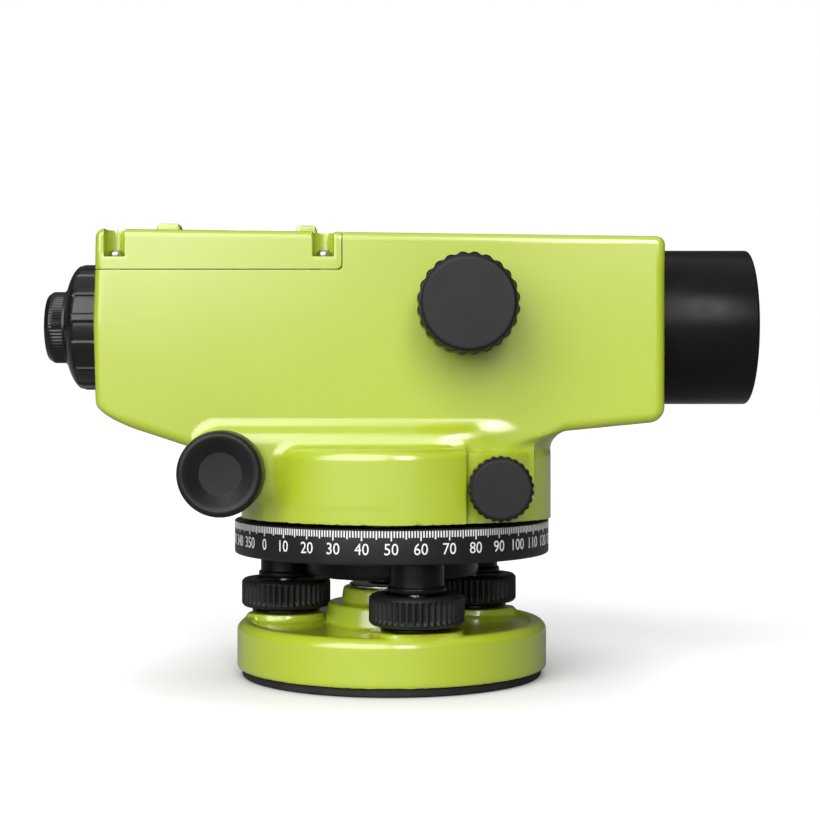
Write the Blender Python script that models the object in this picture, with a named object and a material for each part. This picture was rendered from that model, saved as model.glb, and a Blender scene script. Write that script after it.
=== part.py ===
"""Automatic level: a self-levelling surveyor's telescope on a three-screw base, as separate solids.

All lengths below are millimetres. The telescope points along +X, the eyepiece is at -X, +Z is up,
and every place is counted from the vertical axis, which an empty sets AXIS_X from the origin.
"""

import math

import bmesh
import bpy
from mathutils import Matrix, Vector

MM = 0.001
GAP = 0.3

# Driving dimensions
AXIS_X = -1.95
OPTICAL_Z = 114.0

BODY_REAR_X = -93.1
BODY_FRONT_X = 85.7
BODY_HALF_WIDTH = 33.0
BODY_TOP_REAR_Z = 143.8
BODY_TOP_FRONT_Z = 141.4
BODY_UNDER_Z = 83.0
BODY_WALL = 2.6
BODY_ROUND = 2.8

BLOCK_REAR_X = -48.5
BLOCK_FRONT_X = 51.3
BLOCK_BOTTOM_Z = 52.3
DRUM_RADIUS = 50.2
DRUM_TOP_Z = 75.5
DRUM_END_X = 23.4
CHEEK_CENTRE = (18.0, -8.0)
CHEEK_RADIUS = 34.5
CHEEK_TOP_Z = 74.2
SHOULDER_HALF_WIDTH = 36.5

COVER_SEAM_X = -15.2
COVER_SEAM_Z = 131.0
COVER_SCREWS = [(-86.2, -28.4), (-21.0, -28.4), (-86.2, 28.4), (-21.0, 28.4)]
POCKET_FLOOR_Z = 135.0
POCKET_RADIUS = 3.3

FOOT_CIRCLE_RADIUS = 37.5
FOOT_ANGLES = [math.radians(-77.5 + 120 * k) for k in range(3)]
FOOT_KNOB_RADIUS = 14.9
FOOT_KNOB_BOTTOM_Z = 20.8
FOOT_KNOB_TOP_Z = 30.2
FOOT_RECESS_Z = 29.4
FOOT_BALL_Z = 16.3
FOOT_BALL_RADIUS = 4.0

BASE_RADIUS = 50.9
BASE_RIM_RADIUS = 49.0
BASE_TOP_Z = 16.6
PAD_TOP_Z = 19.0
PAD_RADIUS = 14.4
CIRCLE_RADIUS = 51.7
CIRCLE_BOTTOM_Z = 40.3
CIRCLE_TOP_Z = 51.1

FOCUS_X, FOCUS_Z = 23.6, 119.4
FOCUS_KNOB_RADIUS = 15.7
DRIVE_X, DRIVE_Z = 33.6, 63.3
DRIVE_KNOB_RADIUS = 10.05
WORM_TURNS = 6
WORM_PITCH = 4.0
WORM_ROOT, WORM_CREST = 2.6, 3.4
CLAMP_X, CLAMP_Z = -52.0, 67.7
CLAMP_KNOB_RADIUS = 13.3
DRIVE_KNOB_FACE_Y = -51.0
DRIVE_KNOB_BACK_Y = -43.4
CLAMP_KNOB_FACE_Y = -48.0

BUBBLE_X, BUBBLE_Y = -55.0, 46.4
MIRROR_Y, MIRROR_Z = 37.5, 131.0

GREEN = ("lime_paint", (0.56, 0.68, 0.10), 0.32, 0.0)
BLACK = ("black_plastic", (0.022, 0.022, 0.024), 0.45, 0.0)
BLACK_METAL = ("black_anodised", (0.018, 0.018, 0.019), 0.35, 0.2)
STEEL = ("steel", (0.55, 0.56, 0.57), 0.30, 1.0)
BRASS = ("brass", (0.70, 0.53, 0.26), 0.32, 1.0)
GLASS = ("glass", (0.75, 0.82, 0.85), 0.03, 0.0)
MIRROR = ("mirror", (0.9, 0.9, 0.9), 0.02, 1.0)


def clear_scene():
    for obj in list(bpy.data.objects):
        bpy.data.objects.remove(obj)


def material(look):
    name, colour, roughness, metallic = look
    found = bpy.data.materials.get(name)
    if found:
        return found
    made = bpy.data.materials.new(name)
    made.use_nodes = True
    shader = made.node_tree.nodes["Principled BSDF"]
    shader.inputs["Base Color"].default_value = (*colour, 1.0)
    shader.inputs["Roughness"].default_value = roughness
    shader.inputs["Metallic"].default_value = metallic
    made.diffuse_color = (*colour, 1.0)
    return made


def vertical_axis():
    empty = bpy.data.objects.new("vertical_axis", None)
    empty.location = (AXIS_X * MM, 0, 0)
    bpy.context.scene.collection.objects.link(empty)
    return empty


def make_object(name, mesh_data, look, at=(0, 0, 0), smooth=True):
    """A bmesh given in millimetres about the point `at` becomes an object placed there."""
    bmesh.ops.recalc_face_normals(mesh_data, faces=mesh_data.faces)
    bmesh.ops.scale(mesh_data, vec=(MM, MM, MM), verts=mesh_data.verts)
    mesh = bpy.data.meshes.new(name)
    mesh_data.to_mesh(mesh)
    mesh_data.free()
    if smooth:
        mesh.shade_smooth()
        mesh.set_sharp_from_angle(angle=math.radians(35))
    mesh.materials.append(material(look))
    obj = bpy.data.objects.new(name, mesh)
    obj.location = Vector(at) * MM
    obj.parent = AXIS
    bpy.context.scene.collection.objects.link(obj)
    return obj


def hide_tool(obj):
    obj.hide_render = True
    obj.display_type = "WIRE"
    return obj


def boolean(obj, tool, operation):
    step = obj.modifiers.new(operation.lower(), "BOOLEAN")
    step.operation = operation
    step.object = tool
    step.solver = "EXACT"


def cut(obj, *tools):
    for tool in tools:
        boolean(obj, tool, "DIFFERENCE")


def join(obj, *tools):
    for tool in tools:
        boolean(obj, tool, "UNION")


def turned(name, profile, look, axis="Z", at=(0, 0, 0), segments=32, ripple=None, start=0.0):
    """A turned body. profile holds (radius, place along the axis[, share of the ripple]) in order round
    the section; a section that starts and ends at radius 0 is solid. ripple(angle) adds to the radius."""
    data = bmesh.new()
    rings = []
    for point in profile:
        radius, along = point[0], point[1]
        share = point[2] if len(point) > 2 else 0.0
        steps = 1 if radius == 0 else segments
        ring = []
        for k in range(steps):
            angle = start + 2 * math.pi * k / segments
            r = radius + (share * ripple(angle) if ripple else 0.0)
            u, v = r * math.cos(angle), r * math.sin(angle)
            place = {"X": (along, u, v), "Y": (u, along, v), "Z": (u, v, along)}[axis]
            ring.append(data.verts.new(place))
        rings.append(ring)
    closed = profile[0][0] > 0
    pairs = list(zip(rings, rings[1:] + rings[:1])) if closed else list(zip(rings, rings[1:]))
    for one, two in pairs:
        for k in range(segments):
            a, b = one[k % len(one)], one[(k + 1) % len(one)]
            c, d = two[(k + 1) % len(two)], two[k % len(two)]
            corners = list(dict.fromkeys((a, b, c, d)))
            if len(corners) > 2:
                data.faces.new(corners)
    return make_object(name, data, look, at)


def prism(name, outline, low, high, look, axis="Z", at=(0, 0, 0), smooth=False):
    """An outline pushed from low to high along the axis; the outline is (x, y), (x, z) or (y, z)."""
    data = bmesh.new()

    def corner(p, along):
        return {"X": (along, p[0], p[1]), "Y": (p[0], along, p[1]), "Z": (p[0], p[1], along)}[axis]

    bottom = [data.verts.new(corner(p, low)) for p in outline]
    top = [data.verts.new(corner(p, high)) for p in outline]
    data.faces.new(bottom)
    data.faces.new(top)
    for k in range(len(outline)):
        n = (k + 1) % len(outline)
        data.faces.new((bottom[k], bottom[n], top[n], top[k]))
    return make_object(name, data, look, at, smooth)


def box(name, low, high, look, at=(0, 0, 0)):
    outline = [(low[0], low[1]), (high[0], low[1]), (high[0], high[1]), (low[0], high[1])]
    return prism(name, outline, low[2], high[2], look, at=at)


def disc_tool(name, centre, radius, low, high, axis="Z", segments=24):
    profile = [(0, low), (radius, low), (radius, high), (0, high)]
    return hide_tool(turned(name, profile, STEEL, axis, centre, segments))


def rounded_rectangle(low, high, radii, steps=3):
    """Corners in the order (low, low), (high, low), (high, high), (low, high), one radius each."""
    corners = [(low[0], low[1]), (high[0], low[1]), (high[0], high[1]), (low[0], high[1])]
    points = []
    for k, ((x, y), radius) in enumerate(zip(corners, radii)):
        cx = x + radius if k in (0, 3) else x - radius
        cy = y + radius if k in (0, 1) else y - radius
        for s in range(steps + 1):
            angle = math.pi + math.pi / 2 * (k + s / steps)
            points.append((cx + radius * math.cos(angle), cy + radius * math.sin(angle)))
    return points


def arc(centre, radius, first, last, steps):
    return [
        (centre[0] + radius * math.cos(first + (last - first) * k / steps),
         centre[1] + radius * math.sin(first + (last - first) * k / steps))
        for k in range(steps + 1)
    ]


def ribs(count, depth):
    """A ripple of rounded grooves, deepest at angle 0 and once every 1/count of a turn."""
    return lambda angle: -depth * (0.5 + 0.5 * math.cos(count * angle))


# ---------------------------------------------------------------- base and levelling screws

def pad_outline(x, y):
    """A round pad, flattened where it would pass the edge of the base's flat top."""
    circle = arc((x, y), PAD_RADIUS, 0, 2 * math.pi, 28)[:-1]
    reach = [min(1.0, BASE_RIM_RADIUS / math.hypot(px, py)) for px, py in circle]
    return [(px * part, py * part) for (px, py), part in zip(circle, reach)]


def make_base():
    turned("base_underplate", [(9, 0), (49.3, 0), (49.3, 2.6), (9, 2.6)], BLACK, segments=36)
    rim = [(10.6, 2.9), (50.2, 2.9), (BASE_RADIUS, 3.6), (BASE_RADIUS, 16.0), (BASE_RIM_RADIUS, 17.9), (46.4, 17.9),
           (45.4, BASE_TOP_Z), (22.0, BASE_TOP_Z), (21.0, 23.6), (16.6, 24.2), (16.0, 28.6),
           (10.6, 28.6)]
    plate = turned("base_plate", rim, GREEN, segments=36)
    for k, (x, y) in enumerate(FOOT_PLACES):
        pad = hide_tool(prism(f"tool_pad_{k}", pad_outline(x, y), BASE_TOP_Z - 3, PAD_TOP_Z, GREEN))
        seat_radius = FOOT_BALL_RADIUS + 0.4
        seat = disc_tool(f"tool_seat_{k}", (x, y, 0), seat_radius, 12.0, PAD_TOP_Z + 1, segments=14)
        join(plate, pad)
        cut(plate, seat)
        cap = [(3.0, PAD_TOP_Z + GAP), (11.4, PAD_TOP_Z + GAP), (11.4, PAD_TOP_Z + 1.1),
               (10.8, PAD_TOP_Z + 1.4), (3.0, PAD_TOP_Z + 1.4)]
        turned(f"ball_cap_{k + 1}", cap, BLACK_METAL, at=(x, y, 0), segments=16)
    bush = [(7.4, 3.2), (10.2, 3.2), (10.2, 28.9), (14.0, 28.9), (14.0, 29.8), (7.4, 29.8)]
    turned("tripod_bush", bush, STEEL, segments=20)


def make_foot_screws():
    for k, (x, y) in enumerate(FOOT_PLACES):
        b = FOOT_BALL_RADIUS
        ball = [(b * math.sin(a), FOOT_BALL_Z - b * math.cos(a)) for a in (0, 0.6, 1.1, 1.57, 2.0, 2.4)]
        ball[0] = (0, ball[0][1])
        spindle = ball + [(2.5, 19.6), (2.5, 20.9), (3.5, 21.5), (3.5, 45.2), (3.0, 45.8), (0, 45.8)]
        turned(f"foot_spindle_{k + 1}", spindle, STEEL, at=(x, y, 0), segments=10)
        r = FOOT_KNOB_RADIUS
        knob = [(3.8, 21.6), (9.0, 21.6), (12.6, FOOT_KNOB_BOTTOM_Z), (13.6, FOOT_KNOB_BOTTOM_Z),
                (r, 22.0, 1), (r, 29.0, 1), (13.4, FOOT_KNOB_TOP_Z), (9.7, FOOT_KNOB_TOP_Z),
                (9.7, FOOT_RECESS_Z), (3.8, FOOT_RECESS_Z)]
        turned(f"foot_knob_{k + 1}", knob, BLACK, at=(x, y, 0), segments=36, ripple=ribs(18, 0.9))
        neck = [(3.9, 30.7), (9.2, 30.7), (9.2, 32.6), (8.5, 33.0), (8.5, 44.4), (3.9, 44.4)]
        turned(f"neck_sleeve_{k + 1}", neck, BLACK, at=(x, y, 0), segments=16)


def make_head():
    section = [(0, 33), (27.6, 33), (28.5, 33.9), (28.5, 40.5), (47.4, 40.5), (47.4, 44.4), (0, 44.4)]
    head = turned("levelling_head", section, BLACK_METAL, segments=36)
    for k, (x, y) in enumerate(FOOT_PLACES):
        cut(head, disc_tool(f"tool_neck_{k}", (x, y, 0), 8.8, 36, 50, segments=16))
    cut(head, disc_tool("tool_spindle_bore", (0, 0, 0), 8.3, 36, 50, segments=20))
    spindle = [(0, 36.3), (8, 36.3), (8, 44.8), (11.5, 44.8), (11.5, 45.6), (8, 45.6), (8, 76.6),
               (7, 77.6), (0, 77.6)]
    turned("vertical_spindle", spindle, STEEL, segments=20)
    circle = [(40, CIRCLE_TOP_Z), (40, 48.3), (48, 48.3), (48, CIRCLE_BOTTOM_Z), (51.2, CIRCLE_BOTTOM_Z),
              (CIRCLE_RADIUS, 40.9), (CIRCLE_RADIUS, 50.5), (51.1, CIRCLE_TOP_Z)]
    turned("horizontal_circle", circle, BLACK, segments=36)


def make_drive():
    hub = [(8.35, 59.3), (11.5, 59.3), (11.5, 61.3), (28.0, 61.3), (29.2, 62.1, 1), (29.2, 64.5, 1),
           (28.0, 65.3), (11.5, 65.3), (11.5, 66.0), (8.35, 66.0)]
    turned("worm_wheel", hub, BRASS, segments=48, ripple=ribs(24, 1.0))
    worm = [(0, -48.8), (2.2, -48.8), (2.2, -12.4)]
    for k in range(WORM_TURNS):
        low = WORM_PITCH * (k - WORM_TURNS / 2)
        worm += [(WORM_ROOT, low + 0.2), (WORM_CREST, low + 1.2)]
        worm += [(WORM_CREST, low + 2.2), (WORM_ROOT, low + 3.2)]
    worm += [(2.2, 12.4), (2.2, 48.8), (0, 48.8)]
    turned("drive_shaft", worm, STEEL, "Y", (DRIVE_X, 0, DRIVE_Z), 10)
    for name, side in (("drive_knob_near", 1), ("drive_knob_far", -1)):
        r, face, back = DRIVE_KNOB_RADIUS, DRIVE_KNOB_FACE_Y * side, DRIVE_KNOB_BACK_Y * side
        inner = face + 1.7 * side
        knob = [(0, face), (8.9, face), (9.4, face + 0.4 * side), (r, face + 1.2 * side, 1),
                (r, back - 0.6 * side, 1), (9.0, back), (2.5, back), (2.5, inner), (0, inner)]
        turned(name, knob, BLACK, "Y", (DRIVE_X, 0, DRIVE_Z), 36, ribs(18, 0.8))


def make_clamp():
    face, back = CLAMP_KNOB_FACE_Y, -SHOULDER_HALF_WIDTH - 0.7
    knob = [(0, face + 3.2), (6.6, face + 3.2), (10.4, face + 0.5), (11.6, face), (12.6, face + 0.3),
            (13.0, face + 1.4), (CLAMP_KNOB_RADIUS, back - 1.0), (12.5, back), (2.3, back), (2.3, face + 5.5),
            (0, face + 5.5)]
    turned("clamp_knob", knob, BLACK, "Y", (CLAMP_X, 0, CLAMP_Z), 28)
    turned("clamp_screw", [(0, -42.2), (2, -42.2), (2, 17), (0, 17)], STEEL, "Y", (CLAMP_X, 0, CLAMP_Z), 10)
    ring = [(8.4, 66.4), (13.0, 66.4), (13.0, 70.8), (8.4, 70.8)]
    collar = turned("clamp_collar", ring, STEEL, segments=20)
    arm = [(-10.5, 66.45), (-44.5, 66.45), (-46.5, 63), (-57, 63), (-57, 72.6), (-46.5, 72.6), (-44.5, 70.7),
           (-10.5, 70.7)]
    join(collar, hide_tool(prism("tool_arm_near", arm, -8.6, -3.6, STEEL, "Y")))
    join(collar, hide_tool(prism("tool_arm_far", arm, 3.6, 8.6, STEEL, "Y")))
    cut(collar, hide_tool(box("tool_collar_slot", (-16, -1.2, 60), (-5, 1.2, 80), STEEL)))
    cut(collar, disc_tool("tool_clamp_hole", (CLAMP_X, 0, CLAMP_Z), 2.3, -20, 20, "Y", 14))
    nut = [(4.6 * math.cos(math.pi / 3 * k), 4.6 * math.sin(math.pi / 3 * k)) for k in range(6)]
    nut_body = prism("clamp_nut", nut, 8.95, 13.5, BRASS, "Y", (CLAMP_X, 0, CLAMP_Z))
    cut(nut_body, disc_tool("tool_nut_hole", (CLAMP_X, 0, CLAMP_Z), 2.3, 5, 20, "Y", 14))


# ---------------------------------------------------------------- housing and cover

def top_z(x):
    share = (x - BODY_REAR_X) / (BODY_FRONT_X - BODY_REAR_X)
    return BODY_TOP_REAR_Z + share * (BODY_TOP_FRONT_Z - BODY_TOP_REAR_Z)


def body_profile(inset=0.0):
    """Side outline of the telescope box with the knob boss at its lower rear corner."""
    rear, front = BODY_REAR_X + inset, BODY_FRONT_X - inset
    under = BODY_UNDER_Z + inset
    return [
        (rear, top_z(rear) - inset), (rear, under + 2.4), (-85.9, under), (-62.8 + 0.5 * inset, 75.4 + inset),
        (-62.8 + inset, 61.0 + inset), (-58.0 + inset, 57.0 + inset), (BLOCK_REAR_X, 57.0 + inset),
        (BLOCK_FRONT_X - inset, 57.0 + inset), (BLOCK_FRONT_X - inset, 77.0 + inset),
        (54.0 - inset, 80.4 + inset), (80.3, under), (front, under + 3.4), (front, top_z(front) - inset),
    ]


def upper_profile(inset=0.0):
    """The same outline without the part of the block under it, whose plan corners are rounder."""
    points = body_profile(inset)
    ledge = 74.5 + inset
    rear = -47.0 + 2 * inset
    step = [(rear, 57.0 + inset), (rear, ledge), (BLOCK_FRONT_X - 1.5 - inset, ledge)]
    return points[:6] + step + points[8:]


def block_outline(inset=0.0):
    """Plan of the block under the telescope box, with its wide front corners."""
    low = (BLOCK_REAR_X + inset, -BODY_HALF_WIDTH - 0.5 + inset)
    high = (BLOCK_FRONT_X - inset, BODY_HALF_WIDTH + 0.5 - inset)
    return rounded_rectangle(low, high, (18 - inset, 20 - inset, 20 - inset, 18 - inset), 5)


def outer_body(name):
    """The outside of the telescope box, shared by the housing and its cover."""
    body = prism(name, upper_profile(), -BODY_HALF_WIDTH, BODY_HALF_WIDTH, GREEN, "Y")
    edge = body.modifiers.new("cast_edges", "BEVEL")
    edge.width = BODY_ROUND * MM
    edge.segments = 3
    edge.limit_method = "ANGLE"
    edge.angle_limit = math.radians(60)
    body.modifiers.new("flat_faces", "TRIANGULATE")
    return body


def cut_cavity(housing):
    half = BODY_HALF_WIDTH - BODY_WALL
    upper = prism("tool_cavity_upper", upper_profile(BODY_WALL), -half, half, GREEN, "Y")
    lower = prism("tool_cavity_lower", block_outline(BODY_WALL), 57.0 + BODY_WALL, 84.0, GREEN)
    cut(housing, hide_tool(upper), hide_tool(lower))


def round_side(centre, radius, side, rear_x, front_x, inner_y):
    """The part of a disc on one side of the telescope, between two places along it."""
    rear, front = rear_x - centre[0], front_x - centre[0]
    first = math.atan2(-math.sqrt(radius ** 2 - rear ** 2), rear)
    last = math.atan2(-math.sqrt(radius ** 2 - front ** 2), front)
    points = arc(centre, radius, first, last, 9) + [(front_x, inner_y), (rear_x, inner_y)]
    return [(x, y * side) for x, y in points]


def make_housing():
    housing = outer_body("housing")
    join(housing, hide_tool(prism("tool_block", block_outline(), BLOCK_BOTTOM_Z, 84.0, GREEN)))
    plate = [(-61.0, 60.0), (-45.0, 57.6), (22.8, 57.6), (30.0, 79.0), (27.0, 82.0), (-56.0, 82.0),
             (-61.0, 77.0)]
    for name, side in (("near", 1), ("far", -1)):
        low, high = sorted((-SHOULDER_HALF_WIDTH * side, -30.0 * side))
        join(housing, hide_tool(prism(f"tool_shoulder_{name}", plate, low, high, GREEN, "Y")))
        drum = round_side((0, 0), DRUM_RADIUS, side, -39.0, DRUM_END_X, -28)
        join(housing, hide_tool(prism(f"tool_drum_{name}", drum, BLOCK_BOTTOM_Z, DRUM_TOP_Z, GREEN)))
        cheek = round_side(CHEEK_CENTRE, CHEEK_RADIUS, side, DRUM_END_X - 3.0, BLOCK_FRONT_X, -10)
        join(housing, hide_tool(prism(f"tool_cheek_{name}", cheek, BLOCK_BOTTOM_Z, CHEEK_TOP_Z, GREEN)))
    cut_cavity(housing)
    for name, side in (("near", 1), ("far", -1)):
        inside = round_side((0, 0), DRUM_RADIUS - 3.0, side, -34.0, DRUM_END_X - 3.0, -28)
        cut(housing, hide_tool(prism(f"tool_drum_inside_{name}", inside, 56.0, DRUM_TOP_Z - 2.8, GREEN)))
    cut(housing, hide_tool(box("tool_seam", (-110, -60, COVER_SEAM_Z - GAP / 2),
                               (COVER_SEAM_X + GAP / 2, 60, 160), GREEN)))
    for k, (x, y) in enumerate(COVER_SCREWS):
        pillar_top = COVER_SEAM_Z - GAP / 2
        join(housing, disc_tool(f"tool_pillar_{k}", (x, y, 0), 4.3, 112.0, pillar_top, segments=14))
        cut(housing, disc_tool(f"tool_screw_hole_{k}", (x, y, 0), 1.7, 124.0, 150.0, segments=10))
    cut(
        housing,
        disc_tool("tool_bottom", (0, 0, 0), 30.5, 50, 62, segments=40),
        disc_tool("tool_eyepiece_bore", (0, 0, OPTICAL_Z), 12.4, -100, -86, "X", 32),
        disc_tool("tool_objective_bore", (0, 0, OPTICAL_Z), 24.2, 78, 90, "X", 40),
        disc_tool("tool_focus_bore", (FOCUS_X, 0, FOCUS_Z), 5.5, -40, -28, "Y", 20),
        disc_tool("tool_drive_bore", (DRIVE_X, 0, DRIVE_Z), 2.6, -50, 50, "Y", 14),
        disc_tool("tool_clamp_bore", (CLAMP_X, 0, CLAMP_Z), 2.4, -50, -20, "Y", 14),
    )


def make_cover():
    cover = outer_body("top_cover")
    boolean(cover, hide_tool(box("tool_cover_part", (-110, -60, COVER_SEAM_Z + GAP / 2),
                                 (COVER_SEAM_X - GAP / 2, 60, 160), GREEN)), "INTERSECT")
    cut(cover, hide_tool(box("tool_cover_inside", (BODY_REAR_X + BODY_WALL, -30.4, 120),
                             (COVER_SEAM_X + 5, 30.4, top_z(0) - BODY_WALL), GREEN)))
    for k, (x, y) in enumerate(COVER_SCREWS):
        join(cover, disc_tool(f"tool_boss_{k}", (x, y, 0), 4.4, COVER_SEAM_Z + GAP / 2, 141.0, segments=16))
    for k, (x, y) in enumerate(COVER_SCREWS):
        outward = math.copysign(1.0, y)
        start = 0.0 if outward > 0 else math.pi
        pocket = arc((x, y), POCKET_RADIUS, start + math.pi, start + 2 * math.pi, 8)
        pocket += [(x + POCKET_RADIUS * outward, y + 8 * outward),
                   (x - POCKET_RADIUS * outward, y + 8 * outward)]
        cut(cover, hide_tool(prism(f"tool_pocket_{k}", pocket, POCKET_FLOOR_Z, 150.0, GREEN)))
        cut(cover, disc_tool(f"tool_cover_hole_{k}", (x, y, 0), 1.7, 125.0, 150.0, segments=10))
        screw = [(0, 125), (1.4, 125), (1.4, POCKET_FLOOR_Z + GAP), (2.7, POCKET_FLOOR_Z + GAP),
                 (2.7, POCKET_FLOOR_Z + 1.9), (2.2, POCKET_FLOOR_Z + 2.3), (0, POCKET_FLOOR_Z + 2.3)]
        turned(f"cover_screw_{k + 1}", screw, STEEL, at=(x, y, 0), segments=10)
    for name, x, foot, crest, height in (("rear", -73.3, 9.4, 7.0, 148.0), ("front", -28.1, 8.4, 5.8, 147.4)):
        sight = [(x - foot / 2, 141.6), (x + foot / 2, 141.6), (x + crest / 2, height),
                 (x - crest / 2, height)]
        join(cover, hide_tool(prism(f"tool_sight_{name}", sight, -3.5, 3.5, GREEN, "Y")))


def make_bearing():
    section = [(8.35, 46.2), (11.6, 46.2), (11.6, 52.6), (30.1, 52.6), (30.1, 55.0), (12.2, 55.0),
               (12.2, 58.8), (8.35, 58.8)]
    turned("bearing_plate", section, BRASS, segments=24)


# ---------------------------------------------------------------- optics and focus

def make_objective():
    tube = [(21.8, 72), (23.9, 72), (23.9, BODY_FRONT_X + GAP), (25.3, BODY_FRONT_X + GAP), (25.3, 116.0),
            (24.5, 116.8), (21.8, 116.8), (21.8, 86.5), (19.6, 86.5), (19.6, 84.5), (21.8, 84.5)]
    turned("objective_barrel", tube, BLACK_METAL, "X", (0, 0, OPTICAL_Z), 36)
    lens = [(0, 87.2), (12, 87.6), (21.4, 89.0), (21.4, 96.0), (15, 97.6), (8, 98.5), (0, 98.9)]
    turned("objective_lens", lens, GLASS, "X", (0, 0, OPTICAL_Z), 24)
    ring = [(20.2, 99.3), (21.5, 99.3), (21.5, 102.0), (20.2, 102.0)]
    turned("objective_retainer", ring, BLACK_METAL, "X", (0, 0, OPTICAL_Z), 24)


def make_focus():
    guide = turned("focus_guide", [(15.5, -4), (17.4, -4), (17.4, 71.6), (15.5, 71.6)], BLACK_METAL, "X",
                   (0, 0, OPTICAL_Z), 24)
    cut(guide, hide_tool(box("tool_guide_slot", (-8, -20, 109.6), (62, -12, 114.6), BLACK)))
    turned("focus_cell", [(12.6, 9), (15.2, 9), (15.2, 41), (12.6, 41)], BRASS, "X", (0, 0, OPTICAL_Z), 20)
    lens = [(0, 22.2), (6, 21.9), (12.3, 20.6), (12.3, 27.4), (6, 26.1), (0, 25.8)]
    turned("focusing_lens", lens, GLASS, "X", (0, 0, OPTICAL_Z), 18)
    teeth = []
    for k in range(14):
        x = 5.0 + 2.6 * k
        teeth += [(x, 112.7), (x + 0.6, 114.2), (x + 1.3, 114.2), (x + 1.9, 112.7)]
    outline = [(4.0, 110.2), (4.0, 112.7)] + teeth + [(43.0, 112.7), (43.0, 110.2)]
    prism("focus_rack", outline, -24.4, -15.9, BRASS, "Y")
    shaft = [(0, -24.6), (4.8, -24.6, 1), (4.8, -17.8, 1), (0, -17.8)]
    pinion = turned("focus_shaft", shaft, STEEL, "Y", (FOCUS_X, 0, FOCUS_Z), 28, ribs(14, 0.9))
    join(pinion, disc_tool("tool_focus_rod", (FOCUS_X, 0, FOCUS_Z), 2.4, -54, -20, "Y", 14))
    bush = [(2.8, -35.2), (7.5, -35.2), (7.5, -33.3), (5.2, -33.3), (5.2, -29.6), (2.8, -29.6)]
    turned("focus_bush", bush, BRASS, "Y", (FOCUS_X, 0, FOCUS_Z), 14)
    r = FOCUS_KNOB_RADIUS
    knob = [(0, -57), (13.8, -57), (14.7, -56.2), (r, -54.6, 1), (r, -37.6, 1), (14.4, -36.4), (9.0, -36.4),
            (9.0, -35.6), (2.7, -35.6), (2.7, -54.4), (0, -54.4)]
    turned("focus_knob", knob, BLACK, "Y", (FOCUS_X, 0, FOCUS_Z), 48, ribs(24, 0.9))


def make_eyepiece():
    seat = BODY_REAR_X - GAP
    collar = [(16.5, seat), (20.6, seat), (20.6, -101.2, 1), (19.0, -103.6), (15.6, -106.2),
              (12.9, -107.4), (12.4, -107.4), (12.4, -104.0), (16.5, -101.5)]
    turned("eyepiece_collar", collar, BLACK, "X", (0, 0, OPTICAL_Z), 24, ribs(12, 0.35))
    tube = [(10.0, -100), (12.0, -100), (12.0, -89.0), (16.0, -89.0), (16.0, -86.6), (12.0, -86.6),
            (12.0, -72), (10.0, -72)]
    turned("eyepiece_tube", tube, BLACK_METAL, "X", (0, 0, OPTICAL_Z), 20)
    ring = [(8.0, -111.6), (9.6, -112.9), (11.2, -112.9), (11.75, -112.2, 1), (11.75, -102.6, 1),
            (9.6, -102.6), (9.6, -90.5), (8.0, -90.5)]
    turned("dioptre_ring", ring, BLACK, "X", (0, 0, OPTICAL_Z), 32, ribs(16, 0.5))
    cell = [(6.4, -109.6), (7.7, -109.6), (7.7, -92), (5.4, -92), (5.4, -104), (6.4, -104)]
    turned("eye_lens_cell", cell, BLACK_METAL, "X", (0, 0, OPTICAL_Z), 14)
    lens = [(0, -108.9), (3.5, -108.6), (6.1, -107.6), (6.1, -104.4), (0, -104.4)]
    turned("eye_lens", lens, GLASS, "X", (0, 0, OPTICAL_Z), 14)
    mount = [(6.8, -80), (9.7, -80), (9.7, -75), (6.8, -75)]
    turned("reticle_mount", mount, BRASS, "X", (0, 0, OPTICAL_Z), 14)
    reticle = [(0, -78.6), (6.5, -78.6), (6.5, -76.4), (0, -76.4)]
    turned("reticle", reticle, GLASS, "X", (0, 0, OPTICAL_Z), 14)


def make_compensator():
    frame = box("compensator_frame", (-62, -30.1, 91.0), (-14, 30.1, 93.2), BRASS)
    for name, side in (("near", 1), ("far", -1)):
        low, high = sorted((-19.5 * side, -17.2 * side))
        join(frame, hide_tool(box(f"tool_frame_{name}", (-60, low, 92), (-16, high, 134.4), BRASS)))
    join(frame, hide_tool(box("tool_frame_bridge", (-41, -18, 131.6), (-31, 18, 134.4), BRASS)))
    damper = [(5.6, 92.5), (6.8, 92.5), (6.8, 97.2), (5.6, 97.2)]
    join(frame, hide_tool(turned("tool_damper", damper, BRASS, at=(-36, 0, 0), segments=20)))
    pendulum = box("pendulum", (-45, -12, 98.0), (-27, 12, 127.6), STEEL)
    cut(pendulum, hide_tool(box("tool_pendulum_window", (-60, -9, 105.0), (-10, 9, 123.0), STEEL)))
    join(pendulum, disc_tool("tool_damper_piston", (-36, 0, 0), 4.4, 94.4, 99.0, segments=16))
    prism_side = [(-44, 105.4), (-28, 105.4), (-31, 122.6), (-41, 122.6)]
    prism("pendulum_prism", prism_side, -8.6, 8.6, GLASS, "Y")
    prism("fixed_prism", [(-24.5, 106), (-17, 106), (-17, 122), (-24.5, 114)], -16.8, 16.8, GLASS, "Y")
    box("suspension_flexure", (-36.4, -8.0, 128.2), (-35.6, 8.0, 131.2), STEEL)


# ---------------------------------------------------------------- circular level with its mirror

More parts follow.
